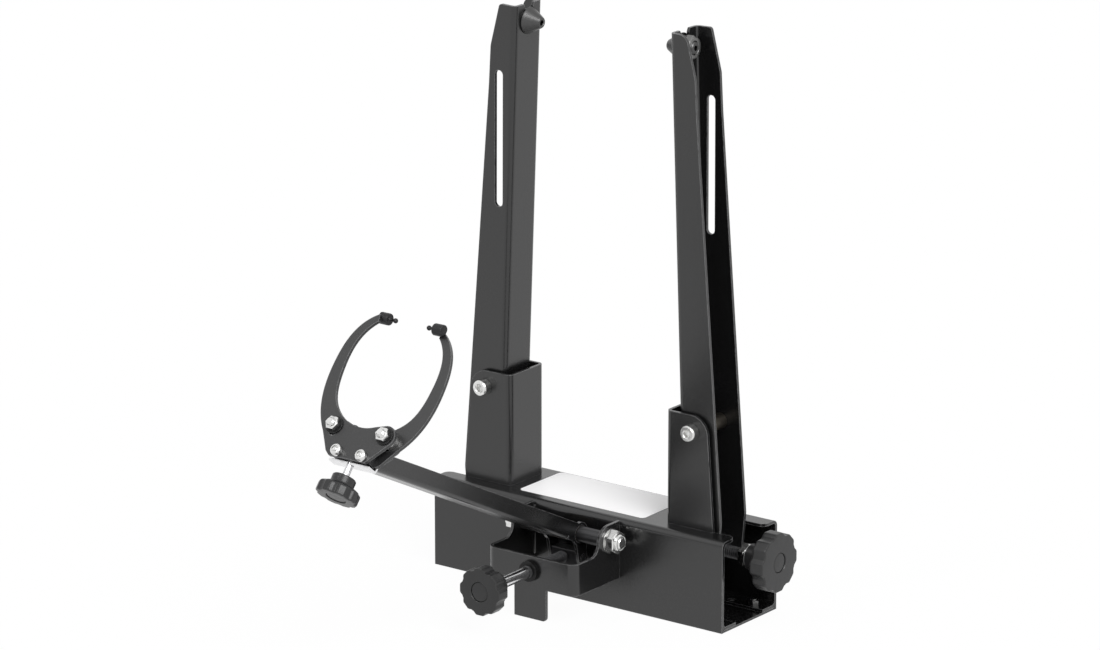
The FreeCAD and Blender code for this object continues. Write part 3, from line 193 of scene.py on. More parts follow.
class Finish:
    """The nodes of one material or world: they are added by one method."""

    def __init__(self, owner):
        owner.use_nodes = True
        self.owner = owner
        self.tree = owner.node_tree
        self.tree.nodes.clear()
        self.place = self.add("ShaderNodeTexCoord").outputs["Object"]

    @classmethod
    def of_material(cls, name):
        """The frame has materials with the slots' names, so the finishes have names of their own."""
        return cls(bpy.data.materials.new(name + FINISH))

    def add(self, kind, inputs=None, **settings):
        node = self.tree.nodes.new(kind)
        for name, value in settings.items():
            setattr(node, name, value)
        for name, value in (inputs or {}).items():
            socket = value.socket if isinstance(value, Amount) else value
            if isinstance(socket, bpy.types.NodeSocket):
                self.tree.links.new(socket, node.inputs[name])
            else:
                node.inputs[name].default_value = socket
        return node

    def number(self, kind, inputs=None, **settings):
        return Amount(self, self.add(kind, inputs, **settings).outputs[0])

    def noise(self, per_metre, detail=2.0, stretch=(1, 1, 1), roughness=0.5):
        """Even noise, per_metre grains to the metre, stretched along the axes."""
        place = self.add("ShaderNodeMapping", {"Vector": self.place, "Scale": stretch}).outputs[0]
        return self.number("ShaderNodeTexNoise", {"Vector": place, "Scale": per_metre, "Detail": detail,
                                                  "Roughness": roughness})

    def cells(self, per_metre):
        return self.number("ShaderNodeTexVoronoi", {"Vector": self.place, "Scale": per_metre})

    def blend(self, share, first, second):
        """A colour socket that goes from the first colour to the second one."""
        colours = {0: share, 6: opaque(first), 7: opaque(second)}
        return self.add("ShaderNodeMix", colours, data_type="RGBA").outputs[2]

    def edges(self, width):
        """1 on edges sharper than the width rounds off, 0 on flat faces."""
        rounded = self.add("ShaderNodeBevel", {"Radius": width}, samples=4).outputs[0]
        true = self.add("ShaderNodeNewGeometry").outputs["Normal"]
        agreement = self.add("ShaderNodeVectorMath", {0: rounded, 1: true}, operation="DOT_PRODUCT")
        return (1 - Amount(self, agreement.outputs["Value"])).within(0.02, 0.2)

    def bump(self, height, depth, under=None):
        values = {"Height": height, "Distance": depth}
        if under is not None:
            values["Normal"] = under
        return self.add("ShaderNodeBump", values).outputs[0]

    def shade(self, colour, roughness, normal, metallic=0.0, gloss=0.5):
        """Adds the surface itself."""
        shader = self.add("ShaderNodeBsdfPrincipled", {
            "Base Color": colour, "Roughness": roughness, "Normal": normal, "Metallic": metallic,
            "Specular IOR Level": gloss,
        })
        self.add("ShaderNodeOutputMaterial", {"Surface": shader.outputs[0]})


def opaque(colour):
    """A colour of three parts gets its fourth; a socket stays as it is."""
    return (*colour, 1) if isinstance(colour, tuple) else colour


def darker(colour, share):
    """The colour moved towards black: this share of it is left."""
    return tuple(part * share for part in colour)


def lighter(colour, share):
    """The colour moved towards white by a share."""
    return tuple(part + (1 - part) * share for part in colour)


# ---- finishes
def powder_coat(name, colour, worn_and_painted_highlight, roughness, gloss, grain):
    """Semi-gloss powder coat: orange peel, fine grain, thinner on the cut edges and paler there, the paler
    colour being both wear and a painted highlight.
    """
    coat = Finish.of_material(name)
    cloud = coat.noise(14, 3)
    peel = coat.noise(420, 2)
    speck = coat.noise(2600, 2, roughness=0.7)
    dust = coat.noise(900, 4, roughness=0.8).within(0.66, 0.74)
    # Wear and painted highlight: the cut edges are blended, in patches, towards a paler colour.
    rub_and_painted_highlight = coat.edges(0.0011) * coat.noise(160, 3).within(0.25, 0.5)
    shade = coat.blend(cloud * 0.6 + speck * 0.4, colour, lighter(colour, 0.004))
    shade = coat.blend(dust * 0.2, shade, lighter(colour, 0.04))
    shade = coat.blend(rub_and_painted_highlight * 0.8, shade, worn_and_painted_highlight)
    normal = coat.bump(peel, 0.00005 * grain)
    normal = coat.bump(speck, 0.00002 * grain, normal)
    roughness = roughness + (cloud - 0.5) * 0.12 + (speck - 0.5) * 0.08 - rub_and_painted_highlight * 0.04
    coat.shade(shade, roughness, normal, gloss=gloss)


def plated(name, colour, roughness):
    """Bright plating with faint clouds and fine scratches."""
    plate = Finish.of_material(name)
    cloud = plate.noise(300, 3)
    scratch = plate.noise(900, 3, stretch=(1, 8, 1)).within(0.5, 0.8)
    shade = plate.blend(cloud.within(0.3, 0.7), darker(colour, 0.9), colour)
    # Painted highlight: the edges are drawn lighter than the plating.
    shade = plate.blend(plate.edges(0.0004) * 0.5, shade, lighter(colour, 0.6))
    roughness = roughness + scratch * 0.08 + (cloud - 0.5) * 0.08
    plate.shade(shade, roughness, plate.bump(scratch, 0.000004), metallic=1.0)


def turned_steel(name, colour):
    """Satin steel with the rings that a lathe tool leaves round the X axis."""
    steel = Finish.of_material(name)
    marks = steel.noise(30, 4, stretch=(80, 1, 1), roughness=0.7)
    cloud = steel.noise(160, 3)
    shade = steel.blend(marks * 0.6 + cloud * 0.4, darker(colour, 0.6), colour)
    # Painted highlight: the edges are drawn lighter than the steel.
    shade = steel.blend(steel.edges(0.0005) * 0.5, shade, lighter(colour, 0.3))
    steel.shade(shade, 0.22 + marks * 0.25, steel.bump(marks, 0.00003), metallic=1.0)


def blackened(name, colour):
    """Black oxide: dark metal with a dull, cloudy sheen and bare steel on its edges."""
    steel = Finish.of_material(name)
    cloud = steel.noise(300, 3)
    bare = steel.edges(0.0005) * steel.noise(500, 2).within(0.4, 0.6)
    shade = steel.blend(cloud, colour, lighter(colour, 0.02))
    shade = steel.blend(bare * 0.5, shade, (0.3, 0.3, 0.31))
    normal = steel.bump(steel.noise(2200, 2), 0.00001)
    steel.shade(shade, 0.34 + cloud * 0.16, normal, metallic=0.85)


def moulded_plastic(name, colour):
    """Black moulding with a spark-eroded grain that is polished on the lobes' edges, where it is also painted
    lighter as a highlight.
    """
    plastic = Finish.of_material(name)
    grain = plastic.noise(2400, 3, roughness=0.65)
    cloud = plastic.noise(60, 2)
    # Polish and painted highlight: the edges are glossier and drawn lighter.
    worn_and_painted_highlight = plastic.edges(0.0016) * 0.5
    shade = plastic.blend(cloud * 0.7 + grain * 0.3, colour, lighter(colour, 0.008))
    shade = plastic.blend(worn_and_painted_highlight * 0.5, shade, lighter(colour, 0.05))
    roughness = 0.34 + (grain - 0.5) * 0.2 - worn_and_painted_highlight * 0.15
    plastic.shade(shade, roughness, plastic.bump(grain, 0.00003), gloss=0.4)


def sintered_bronze(name, colour):
    """Bronze with the open pores of a sintered bush."""
    bronze = Finish.of_material(name)
    pores = bronze.cells(2200).within(0.1, 0.5)
    cloud = bronze.noise(200, 3)
    shade = bronze.blend(pores * 0.7 + cloud * 0.3, darker(colour, 0.35), colour)
    bronze.shade(shade, 0.5 - cloud * 0.15, bronze.bump(pores, 0.00002), metallic=1.0)


def vinyl_label(name, colour):
    """Plain white vinyl with a faint weave of the paper under it."""
    vinyl = Finish.of_material(name)
    fibre = vinyl.noise(900, 3, stretch=(1, 3, 1))
    cloud = vinyl.noise(40, 2)
    shade = vinyl.blend(cloud * 0.5 + fibre * 0.5, darker(colour, 0.97), colour)
    vinyl.shade(shade, 0.42 + fibre * 0.1, vinyl.bump(fibre, 0.00001))


def nylon_ring(name, colour):
    """Milky nylon, a little glossy where the thread was pressed in."""
    nylon = Finish.of_material(name)
    cloud = nylon.noise(700, 2)
    shade = nylon.blend(cloud, darker(colour, 0.8), colour)
    nylon.shade(shade, 0.4 + cloud * 0.2, nylon.bump(cloud, 0.00001))


def finish_of(name):
    """A finish that the finishes operator has made: it comes before the pieces."""
    return bpy.data.materials[name + FINISH]


# The finish of each node whose piece keeps the node's own shape.
PLAIN_PARTS = {
    "powder_coat": ["base_body", "base_floor", "left_bracket", "right_bracket", "front_bracket",
                    "spindle_bearing_bracket", "left_arm", "right_arm", "caliper_arm", "caliper_carrier"],
    "caliper_coat": ["left_caliper", "right_caliper"],
    "bright_zinc": ["pivot_washers", "caliper_pivot_washers", "head_spacers", "spindle_washer",
                    "spindle_collars", "right_caliper_pin"],
    # The floor screws and nuts are bright zinc; the shaded zinc, a darker copy, paints shade on them.
    "shaded_zinc": ["floor_screws", "floor_nuts"],
    "dark_steel": ["adjuster_swivel", "adjuster_collar", "caliper_yoke", "caliper_screw_collar",
                   "left_trunnion_nut", "right_trunnion_nut", "left_cone_washer", "right_cone_washer",
                   "caliper_pivot_spacers"],
    # The bush and its nut are oiled black steel; the head washers, which are zinc, take the same black as
    # painted shade round the head nuts.
    "oiled_black_and_painted_shade": ["adjuster_bush", "adjuster_bush_nut", "head_washers"],
    "bronze": ["spindle_bush", "left_arm_sleeve", "right_arm_sleeve", "caliper_arm_sleeve"],
}


# ---- modelling helpers
def let_go():
    """Leaves edit mode with nothing selected."""
    if bpy.context.mode != "OBJECT":
        bpy.ops.object.mode_set(mode="OBJECT")
    bpy.ops.object.select_all(action="DESELECT")


def take(piece):
    """Makes one piece the only selected and active one."""
    let_go()
    piece.select_set(True)
    bpy.context.view_layer.objects.active = piece


def edit(piece):
    take(piece)
    bpy.ops.object.mode_set(mode="EDIT")
    bpy.ops.mesh.select_mode(type="VERT")


def modify(piece, kind, **settings):
    """Adds a modifier with these settings to the active piece and applies it."""
    modifier = piece.modifiers.new(kind, kind)
    for name, value in settings.items():
        setattr(modifier, name, value)
    bpy.ops.object.modifier_apply(modifier=modifier.name)


def new_piece(name, mesh):
    """An object with its own copy of a mesh."""
    piece = bpy.data.objects.new(name, mesh.copy())
    bpy.context.scene.collection.objects.link(piece)
    return piece


def pick_all():
    bpy.ops.mesh.select_all(action="SELECT")


def pick_open_edges():
    """Selects the edges that still have a face on one side only."""
    bpy.ops.mesh.select_all(action="DESELECT")
    bpy.ops.mesh.select_non_manifold(extend=False, use_wire=False, use_multi_face=False,
                                     use_non_contiguous=False, use_verts=False)


def face_outwards():
    """Turns all faces of the mesh in edit mode outwards and leaves edit mode."""
    pick_all()
    bpy.ops.mesh.normals_make_consistent(inside=False)
    bpy.ops.object.mode_set(mode="OBJECT")


def shift(x, y, z):
    """A way in millimetres as a placement."""
    return Matrix.Translation((x * MM, y * MM, z * MM))


def turn(degrees, axis):
    """A turn round an axis as a placement."""
    return Matrix.Rotation(radians(degrees), 4, axis)


def facing(point, axis):
    """Placement that carries the local Z axis onto axis, from point."""
    return Matrix.Translation(point) @ UP.rotation_difference(axis).to_matrix().to_4x4()


def set_down(piece, placement):
    """Writes a placement into the piece's mesh, so that its object stays at the origin."""
    take(piece)
    piece.matrix_world = placement
    bpy.ops.object.transform_apply()
    return piece


def copies(piece, name, placements):
    """Sets down a copy of the piece, with its own mesh, at each placement and joins them."""
    made = [set_down(new_piece(name, piece.data), placement) for placement in placements]
    bpy.data.objects.remove(piece)
    return joined(name, *made)


def joined(name, *pieces):
    """Several solids as one piece."""
    let_go()
    for piece in pieces:
        piece.select_set(True)
    bpy.context.view_layer.objects.active = pieces[0]
    bpy.ops.object.join()
    pieces[0].name = name
    return pieces[0]


def dress(piece, finish, nodes=(), body=None, smooth=35):
    """Gives a finished piece its finish and shading and the body of the nodes it replaces, and hides those
    nodes.
    """
    take(piece)
    bpy.ops.object.shade_smooth_by_angle(angle=radians(smooth))
    modify(piece, "WEIGHTED_NORMAL", keep_sharp=True)
    piece.data.materials.clear()
    piece.data.materials.append(finish_of(finish))
    if nodes:
        body = BODY_OF[nodes[0]]
        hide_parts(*nodes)
    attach(piece, body)
    return piece


def fit(name, rows, places, finish, nodes=(), body=None, smooth=35, **shape):
    """Turns a part, sets one down at each place and dresses them as one piece."""
    part = turned(name, rows, **shape)
    part = copies(part, name, places) if len(places) > 1 else set_down(part, places[0])
    dress(part, finish, nodes, body, smooth=smooth)


def reach(outline, angle, depth):
    """How far a ring of this outline reaches at an angle, as a share of its radius."""
    if outline == HEX:
        return 1 / cos(angle % (pi / 3) - pi / 6)
    if outline == LOBED:
        step = pi / KNOB_LOBES
        off = abs((angle + step) % (2 * step) - step)
        fall = max(0.0, (off / step - LOBE_SHARE) / (1 - LOBE_SHARE))
        return LOBE_TOP / cos(off) - depth * (0.5 - 0.5 * cos(pi * min(1.0, fall))) ** VALLEY_SHAPE
    return 1.0


def reshape(piece, old, new, depth):
    """Moves the selected ring's points from one outline to another, like points together."""
    points = bmesh.from_edit_mesh(piece.data).verts
    groups = {}
    ring = []
    for point in points:
        if point.select:
            angle = atan2(point.co.y, point.co.x)
            share = round(reach(new, angle, depth) / reach(old, angle, depth), 5)
            groups.setdefault(share, []).append(point.index)
            ring.append(point.index)
    for share, members in sorted(groups.items()):
        if share != 1:
            pick(piece, members)
            bpy.ops.transform.resize(value=(share, share, 1), center_override=(0, 0, 0))
    pick(piece, ring)


def pick(piece, members):
    """Selects the vertices with these numbers, and only them."""
    bpy.ops.mesh.select_all(action="DESELECT")
    mesh = bmesh.from_edit_mesh(piece.data)
    mesh.verts.ensure_lookup_table()
    for index in members:
        mesh.verts[index].select = True
    mesh.select_flush(True)
    bmesh.update_edit_mesh(piece.data)


def turned(name, rows, count=48, hollow=False, depth=0.0):
    """A ring extruded through rows of (radius, height, outline), in millimetres, round the Z axis."""
    let_go()
    radius, height, outline = rows[0]
    bpy.ops.mesh.primitive_circle_add(vertices=count, radius=radius * MM, location=(0, 0, height * MM))
    piece = bpy.context.object
    piece.name = name
    bpy.ops.object.transform_apply()
    edit(piece)
    pick_all()
    if outline != ROUND:
        reshape(piece, ROUND, outline, depth)
    for next_radius, next_height, next_outline in rows[1:]:
        rise = (next_height - height) * MM
        bpy.ops.mesh.extrude_region_move(TRANSFORM_OT_translate={"value": (0, 0, rise)})
        share = next_radius / radius
        if share != 1:
            bpy.ops.transform.resize(value=(share, share, 1), center_override=(0, 0, 0))
        if next_outline != outline:
            reshape(piece, outline, next_outline, depth)
        radius, height, outline = next_radius, next_height, next_outline
    pick_open_edges()
    if hollow:
        bpy.ops.mesh.bridge_edge_loops()
    else:
        bpy.ops.mesh.fill_holes(sides=0)
    face_outwards()
    return piece


def rings(*rows, outline=ROUND):
    """Rows of rings of one outline."""
    return [(radius, height, outline) for radius, height in rows]


def bolt_end(radius, low, high, pitch):
    """Rows of ring grooves that stand for a short stretch of thread, upwards."""
    rows = []
    height = low
    while height < high - pitch:
        rows += rings((radius - 0.5 * pitch, height), (radius, height + 0.4 * pitch),
                      (radius, height + 0.6 * pitch))
        height += pitch
    return rows


def threaded(name, radius, pitch, low, high, depth, steps=32, hand=1):
    """A closed helical thread round the Z axis from low to high, in millimetres."""
    root = radius - depth * pitch
    profile = [(root, 0.0), (root, 0.2), (radius, 0.5), (radius, 0.65), (root, 0.95), (root, 1.0)]
    let_go()
    bpy.ops.mesh.primitive_plane_add(size=MM)
    piece = bpy.context.object
    piece.name = name
    edit(piece)
    pick_all()
    bpy.ops.mesh.merge(type="CENTER")
    bpy.ops.transform.translate(value=(profile[0][0] * MM, 0, low * MM))
    for before, after in zip(profile, profile[1:]):
        way = ((after[0] - before[0]) * MM, 0, (after[1] - before[1]) * pitch * MM)
        bpy.ops.mesh.extrude_region_move(TRANSFORM_OT_translate={"value": way})
    bpy.ops.object.mode_set(mode="OBJECT")
    modify(piece, "SCREW", steps=steps, render_steps=steps, angle=hand * 2 * pi, screw_offset=pitch * MM,
           iterations=max(1, round((high - low) / pitch)), use_merge_vertices=True,
           merge_threshold=THREAD_WELD)
    edit(piece)
    pick_all()
    bpy.ops.mesh.remove_doubles(threshold=THREAD_WELD)
    pick_open_edges()
    bpy.ops.mesh.fill_holes(sides=0)
    face_outwards()
    return piece


def cut_away(piece, cutter):
    """Takes the cutter's shape out of the piece and removes the cutter."""
    take(piece)
    modify(piece, "BOOLEAN", operation="DIFFERENCE", solver="EXACT", object=cutter)
    bpy.data.objects.remove(cutter)
    return piece


def block(low, high):
    """A box between two corners, in millimetres, to cut with."""
    let_go()
    middle = [(a + b) / 2 * MM for a, b in zip(low, high)]
    bpy.ops.mesh.primitive_cube_add(size=1, location=middle, scale=[(b - a) * MM for a, b in zip(low, high)])
    bpy.ops.object.transform_apply()
    return bpy.context.object


def shift_points(piece, new_place):
    """Moves the points that new_place gives a new place, like ways together, and merges them."""
    edit(piece)
    groups = {}
    for point in bmesh.from_edit_mesh(piece.data).verts:
        way = tuple(round(part, 6) for part in new_place(point.co) - point.co)
        if any(way):
            groups.setdefault(way, []).append(point.index)
    for way, members in sorted(groups.items()):
        pick(piece, members)
        bpy.ops.transform.translate(value=way)
    pick_all()
    bpy.ops.mesh.remove_doubles(threshold=NODE_WELD)


# The base body's cross section, in millimetres: y from the middle and z from the bench. The fold's outer
# face lies outside FOLD_RADIUS round its middle, and goes to the wall's face, the bench or the lip's top.
# What is nearer than FOLD_MARGIN to the flat wall and lip stays.
FOLD_MIDDLE = (32.0, 7.5)
FOLD_RADIUS = 5.2
FOLD_MARGIN = 0.1
WALL_FACE = 37.5
WALL_BACK = 35.0
LIP_TOP = 2.0
# A height, and the y and z for the points above it. None keeps the point's own.
FOLD_STEPS = [(3.6, WALL_FACE, None), (3.1, WALL_FACE, 0), (2.7, WALL_BACK, 0), (2.4, WALL_BACK, LIP_TOP),
              (-1.0, None, LIP_TOP)]
# The floor plate's long edges, which lie beyond PLATE_EDGE, are drawn in by PLATE_CUT.
PLATE_EDGE = 36.0
PLATE_CUT = 2.6
# The rear caliper's edge below CALIPER_EDGE, in the head's own frame, is drawn higher by EDGE_LIFT.
CALIPER_EDGE = -4.0
EDGE_LIFT = 0.6


def wall_to_bench(point):
    """The body's lower folds are drawn square, so that its walls cover the floor plate's edges."""
    y, z = abs(point.y) / MM, point.z / MM
    middle_y, middle_z = FOLD_MIDDLE
    outer = (y - middle_y) ** 2 + (z - middle_z) ** 2 > FOLD_RADIUS ** 2
    if z > middle_z - FOLD_MARGIN or y < middle_y + FOLD_MARGIN or not outer:
        return point
    new_y, new_z = next((new_y, new_z) for low, new_y, new_z in FOLD_STEPS if z > low)
    y = y if new_y is None else new_y
    z = z if new_z is None else new_z
    return Vector((point.x, y * MM * (1 if point.y > 0 else -1), z * MM))


def between_walls(point):
    """The floor plate is drawn as wide as the room between the body's walls."""
    if abs(point.y) < PLATE_EDGE * MM:
        return point
    cut = (PLATE_CUT if point.y > 0 else -PLATE_CUT) * MM
    return Vector((point.x, point.y - cut, point.z))


def clear_of_fold(point):
    """The rear caliper's lower edge is drawn clear of the carrier's fold when the calipers open."""
    if (HEAD.inverted() @ point).y > CALIPER_EDGE * MM:
        return point
    return point + HEAD.to_3x3() @ Vector((0, EDGE_LIFT * MM, 0))


NEW_PLACES = {"base_body": wall_to_bench, "base_floor": between_walls, "right_caliper": clear_of_fold}


def rounded_node(node, finish, rounding):
    """A node's shape with welded corners and rounded cut edges, in its final finish."""
    piece = new_piece(node + "_" + finish, NODES[node].data)
    edit(piece)
    pick_all()
    bpy.ops.mesh.customdata_custom_splitnormals_clear()
    bpy.ops.mesh.remove_doubles(threshold=NODE_WELD)
    if node in NEW_PLACES:
        shift_points(piece, NEW_PLACES[node])
    bpy.ops.mesh.dissolve_limited(angle_limit=radians(0.6))
    bpy.ops.object.mode_set(mode="OBJECT")
    modify(piece, "BEVEL", width=rounding, segments=2, limit_method="ANGLE", angle_limit=radians(40),
           miter_outer="MITER_ARC", use_clamp_overlap=True)
    return dress(piece, finish, [node], smooth=32)


# ---- fastener profiles
def lock_nut_rows(flats, bore, height):
    """Self-locking nut: chamfered hexagon with a round collar that is rolled over a nylon ring."""
    half = flats / 2
    return (rings((bore, 0), (half * 0.97, 0))
            + rings((half, height * 0.05), (half, height * 0.70), outline=HEX)
            + rings((half * 0.93, height * 0.77), (flats * 0.40, height * 0.78),
                    (flats * 0.39, height * 0.92), (flats * 0.365, height), (bore + flats * 0.045, height),
                    (bore + flats * 0.035, height * 0.92), (bore, height * 0.92)))


def plain_nut_rows(flats, bore, height):
    """Hexagon nut, chamfered on both ends, with a countersunk thread."""
    half = flats / 2
    sink = 0.05 * flats
    return (rings((bore, sink), (bore + sink, 0), (half * 0.95, 0))
            + rings((half, height * 0.12), (half, height * 0.88), outline=HEX)
            + rings((half * 0.95, height), (bore + sink, height), (bore, height - sink)))


def socket_head_rows(radius, height, flats, shank, length, pitch):
    """Socket head screw on Z: the seat at 0, the shank below, the head above."""
    return (rings((0.3 * shank, -length), (shank - 0.7, -length))
            + bolt_end(shank, -length + 0.5, -length + 6 * pitch, pitch)
            + rings((shank, -length + 6 * pitch), (shank, 0), (radius - 0.3, 0), (radius, 0.4),
                    (radius, height * 0.80), (radius - 0.3, height * 0.92), (radius - 1.0, height),
                    (flats * 0.62, height), (flats * 0.58, height - 0.3))
            + rings((flats / 2, height - 0.6), (flats / 2, height * 0.45), outline=HEX)
            + rings((0.4, height * 0.36)))


def cap_rows(radius, low):
    """Low domed disc on Z that closes a knob's recess."""
    return rings((0.6, low), (radius - 0.3, low), (radius, low + 0.3), (radius, low + 0.8),
                 (radius - 0.5, low + 1.2), (radius - 2.0, low + 1.3), (0.6, low + 1.4))


def knob_rows(radius, disc, hub_radius, hub, rim, recess_radius, recess):
    """Hand knob on Z: hub from 0, a lobed disc above it and a round recess in the outer face."""
    top = hub + disc
    back = hub + 0.16 * disc
    return (rings((1.0, 0), (hub_radius - 0.9, 0), (hub_radius, 0.9), (hub_radius, hub - 1.4),
                  (hub_radius + 0.5, hub - 0.4), (hub_radius + 1.6, hub))
            + rings((radius * 0.80, back - 1.0), (radius - rim, back), (radius - 0.3 * rim, back + 0.7),
                    (radius, back + 2.0), (radius, top - rim), (radius - 0.3 * rim, top - 0.3 * rim),
                    (radius - rim, top), outline=LOBED)
            + rings((recess_radius + 2.4, top), (recess_radius + 0.5, top), (recess_radius, top - 0.5),
                    (recess_radius, top - recess), (0.8, top - recess)))


# ---- frames of the tilted parts
# Points are in metres, distances in a part's own frame in millimetres and angles in degrees.
HEAD = Matrix.Translation((0, -0.3219, 0.1934)) @ turn(50.4, "X")
HEAD_MIDDLE = -6.2
HEAD_DEPTH = 12.4
RIGHT_HEAD = HEAD @ shift(0, 0, -HEAD_DEPTH) @ turn(180, "Y")
CALIPER_PIVOTS = [(23.9, 19.2), (-23.9, 19.2)]
CALIPER_SCREW = HEAD @ shift(0, 0, HEAD_MIDDLE) @ turn(-90, "X")
CALIPER_KNOB = HEAD @ shift(0, -17.0, HEAD_MIDDLE) @ turn(90, "X")
CALIPER_PIVOT = Vector((0, -0.0515, 0.061))
ARM_PIVOTS = [Vector((0.1022, 0, 0.1546)), Vector((-0.1022, 0, 0.1546))]
ARM_LEAN = 2.1
ARM_PLACE = Matrix.Translation(ARM_PIVOTS[0]) @ turn(-ARM_LEAN, "Y")
ARM_PLACES = {"right": ARM_PLACE, "left": turn(180, "Z") @ ARM_PLACE}
CONE_LEVEL = 302.0
WEB_OFFSET = 16.5
SPINDLE = Vector((0, 0, 0.0543))
HEIGHT_SCREW = Vector((0, 0, 0.0399))


def in_head(x, v, level):
    """A point of the caliper head, in millimetres, as a placement facing out of the front caliper."""
    return HEAD @ shift(x, v, level)


# ---- operators
class STAND_OT_camera(bpy.types.Operator):
    """Adds the camera and makes it the scene's own"""

    bl_idname = "stand.camera"
    bl_label = "Camera"

    def execute(self, context):
        stage = context.scene.stand_stage
        let_go()
        bpy.ops.object.camera_add(location=stage.camera_place, rotation=stage.camera_turn)
        camera = context.object
        camera.name = "camera"
        camera.data.sensor_width = 36
        camera.data.sensor_fit = "HORIZONTAL"
        camera.data.lens = stage.camera_lens
        camera.data.clip_start = 0.1
        camera.data.clip_end = 100
        context.scene.camera = camera
        return {"FINISHED"}


class STAND_OT_stage(bpy.types.Operator):
    """Adds the pale floor, the soft key and fill lamps and the surrounding light"""

    bl_idname = "stand.stage"
    bl_label = "Stage"

    # The floor lies this far under the bench face, in metres, so that the two stay apart.
    FLOOR_LEVEL = -0.0003
    WHITE = (1, 1, 1)
    PALE = (0.9, 0.9, 0.9)
    MOTTLED = (0.86, 0.86, 0.86)

    def execute(self, context):
        stage = context.scene.stand_stage
        context.scene.view_settings.view_transform = "Standard"
        let_go()
        bpy.ops.mesh.primitive_plane_add(size=stage.floor_size, location=(0, 0, self.FLOOR_LEVEL))
        floor = context.object
        floor.name = "floor"
        floor.data.materials.append(self.floor_material(stage))
        self.lamp("key_lamp", stage.key_from, stage.key_strength, stage.key_spread)
        self.lamp("fill_lamp", stage.fill_from, stage.fill_strength, stage.fill_spread)
        self.surround(context, stage)
        return {"FINISHED"}

    @staticmethod
    def lamp(name, way, strength, spread):
        """A soft lamp far away, whose light falls along its Z axis."""
        let_go()
        bpy.ops.object.light_add(type="SUN", rotation=UP.rotation_difference(Vector(way)).to_euler())
        lamp = bpy.context.object
        lamp.name = name
        lamp.data.energy = strength
        lamp.data.angle = spread

    @staticmethod
    def seen(finish):
        """1 for what the camera, a reflection or glass sees, 0 for the light that falls on things."""
        path = finish.add("ShaderNodeLightPath").outputs
        names = ("Is Camera Ray", "Is Glossy Ray", "Is Transmission Ray")
        camera, glossy, clear = [Amount(finish, path[name]) for name in names]
        return finish.number("ShaderNodeClamp", {"Value": camera + glossy + clear})

    def floor_material(self, stage):
        floor = Finish.of_material("pale_floor")
        mottle = floor.noise(3, 2) * 0.01
        tone = floor.blend(mottle, self.PALE, self.MOTTLED)
        matt = floor.add("ShaderNodeBsdfDiffuse", {"Color": tone}).outputs[0]
        glow = floor.add("ShaderNodeEmission", {"Color": opaque(self.WHITE)}).outputs[0]
        share = self.seen(floor) * stage.floor_glow
        mixed = floor.add("ShaderNodeMixShader", {0: share, 1: matt, 2: glow})
        floor.add("ShaderNodeOutputMaterial", {"Surface": mixed.outputs[0]})
        return floor.owner

    def surround(self, context, stage):
        world = bpy.data.worlds.new("studio")
        context.scene.world = world
        sky = Finish(world)
        seen = self.seen(sky)
        strength = seen + (1 - seen) * stage.ambient
        light = sky.add("ShaderNodeBackground", {"Color": opaque(self.WHITE), "Strength": strength})
        sky.add("ShaderNodeOutputWorld", {"Surface": light.outputs[0]})


class STAND_OT_finishes(bpy.types.Operator):
    """Makes the coatings, platings and mouldings"""

    bl_idname = "stand.finishes"
    bl_label = "Finishes"

    # What the calipers' coat has more of roughness and less of gloss than the other sheet.
    CALIPER_ROUGHER = 0.15
    CALIPER_DULLER = 0.1
    # How much of the zinc's tone the shaded zinc has, a darker copy of the bright zinc that paints shade, and
    # how much of the blackened steel's tone the gauge steel has.
    DULL_ZINC = 0.25
    GAUGE_STEEL = 0.5

    def execute(self, context):
        colours = context.scene.stand_colours
        worn_and_painted_highlight = tuple(colours.worn_coat_and_painted_highlight)
        roughness = colours.coat_roughness
        gloss = colours.coat_gloss
        powder_coat("powder_coat", tuple(colours.coat), worn_and_painted_highlight, roughness, gloss, grain=1.0)
        powder_coat("caliper_coat", tuple(colours.caliper_coat), worn_and_painted_highlight, roughness + self.CALIPER_ROUGHER,
                    gloss - self.CALIPER_DULLER, grain=1.4)
        plated("bright_zinc", tuple(colours.zinc), roughness=0.2)
        # Painted shade: a darker copy of the bright zinc, for the floor screws, floor nuts and cone nuts.
        plated("shaded_zinc", darker(colours.zinc, self.DULL_ZINC), roughness=0.3)
        plated("chrome", tuple(colours.chrome), roughness=0.18)
        turned_steel("satin_zinc", tuple(colours.turned))
        blackened("dark_steel", tuple(colours.black_oxide_and_painted_shade))
        blackened("oiled_black_and_painted_shade", tuple(colours.black_bush_and_painted_shade))
        blackened("gauge_steel", darker(colours.black_oxide_and_painted_shade, self.GAUGE_STEEL))
        moulded_plastic("knob_plastic", tuple(colours.plastic))
        sintered_bronze("bronze", tuple(colours.bronze))
        vinyl_label("label", tuple(colours.label))
        nylon_ring("nylon", tuple(colours.nylon))
        return {"FINISHED"}


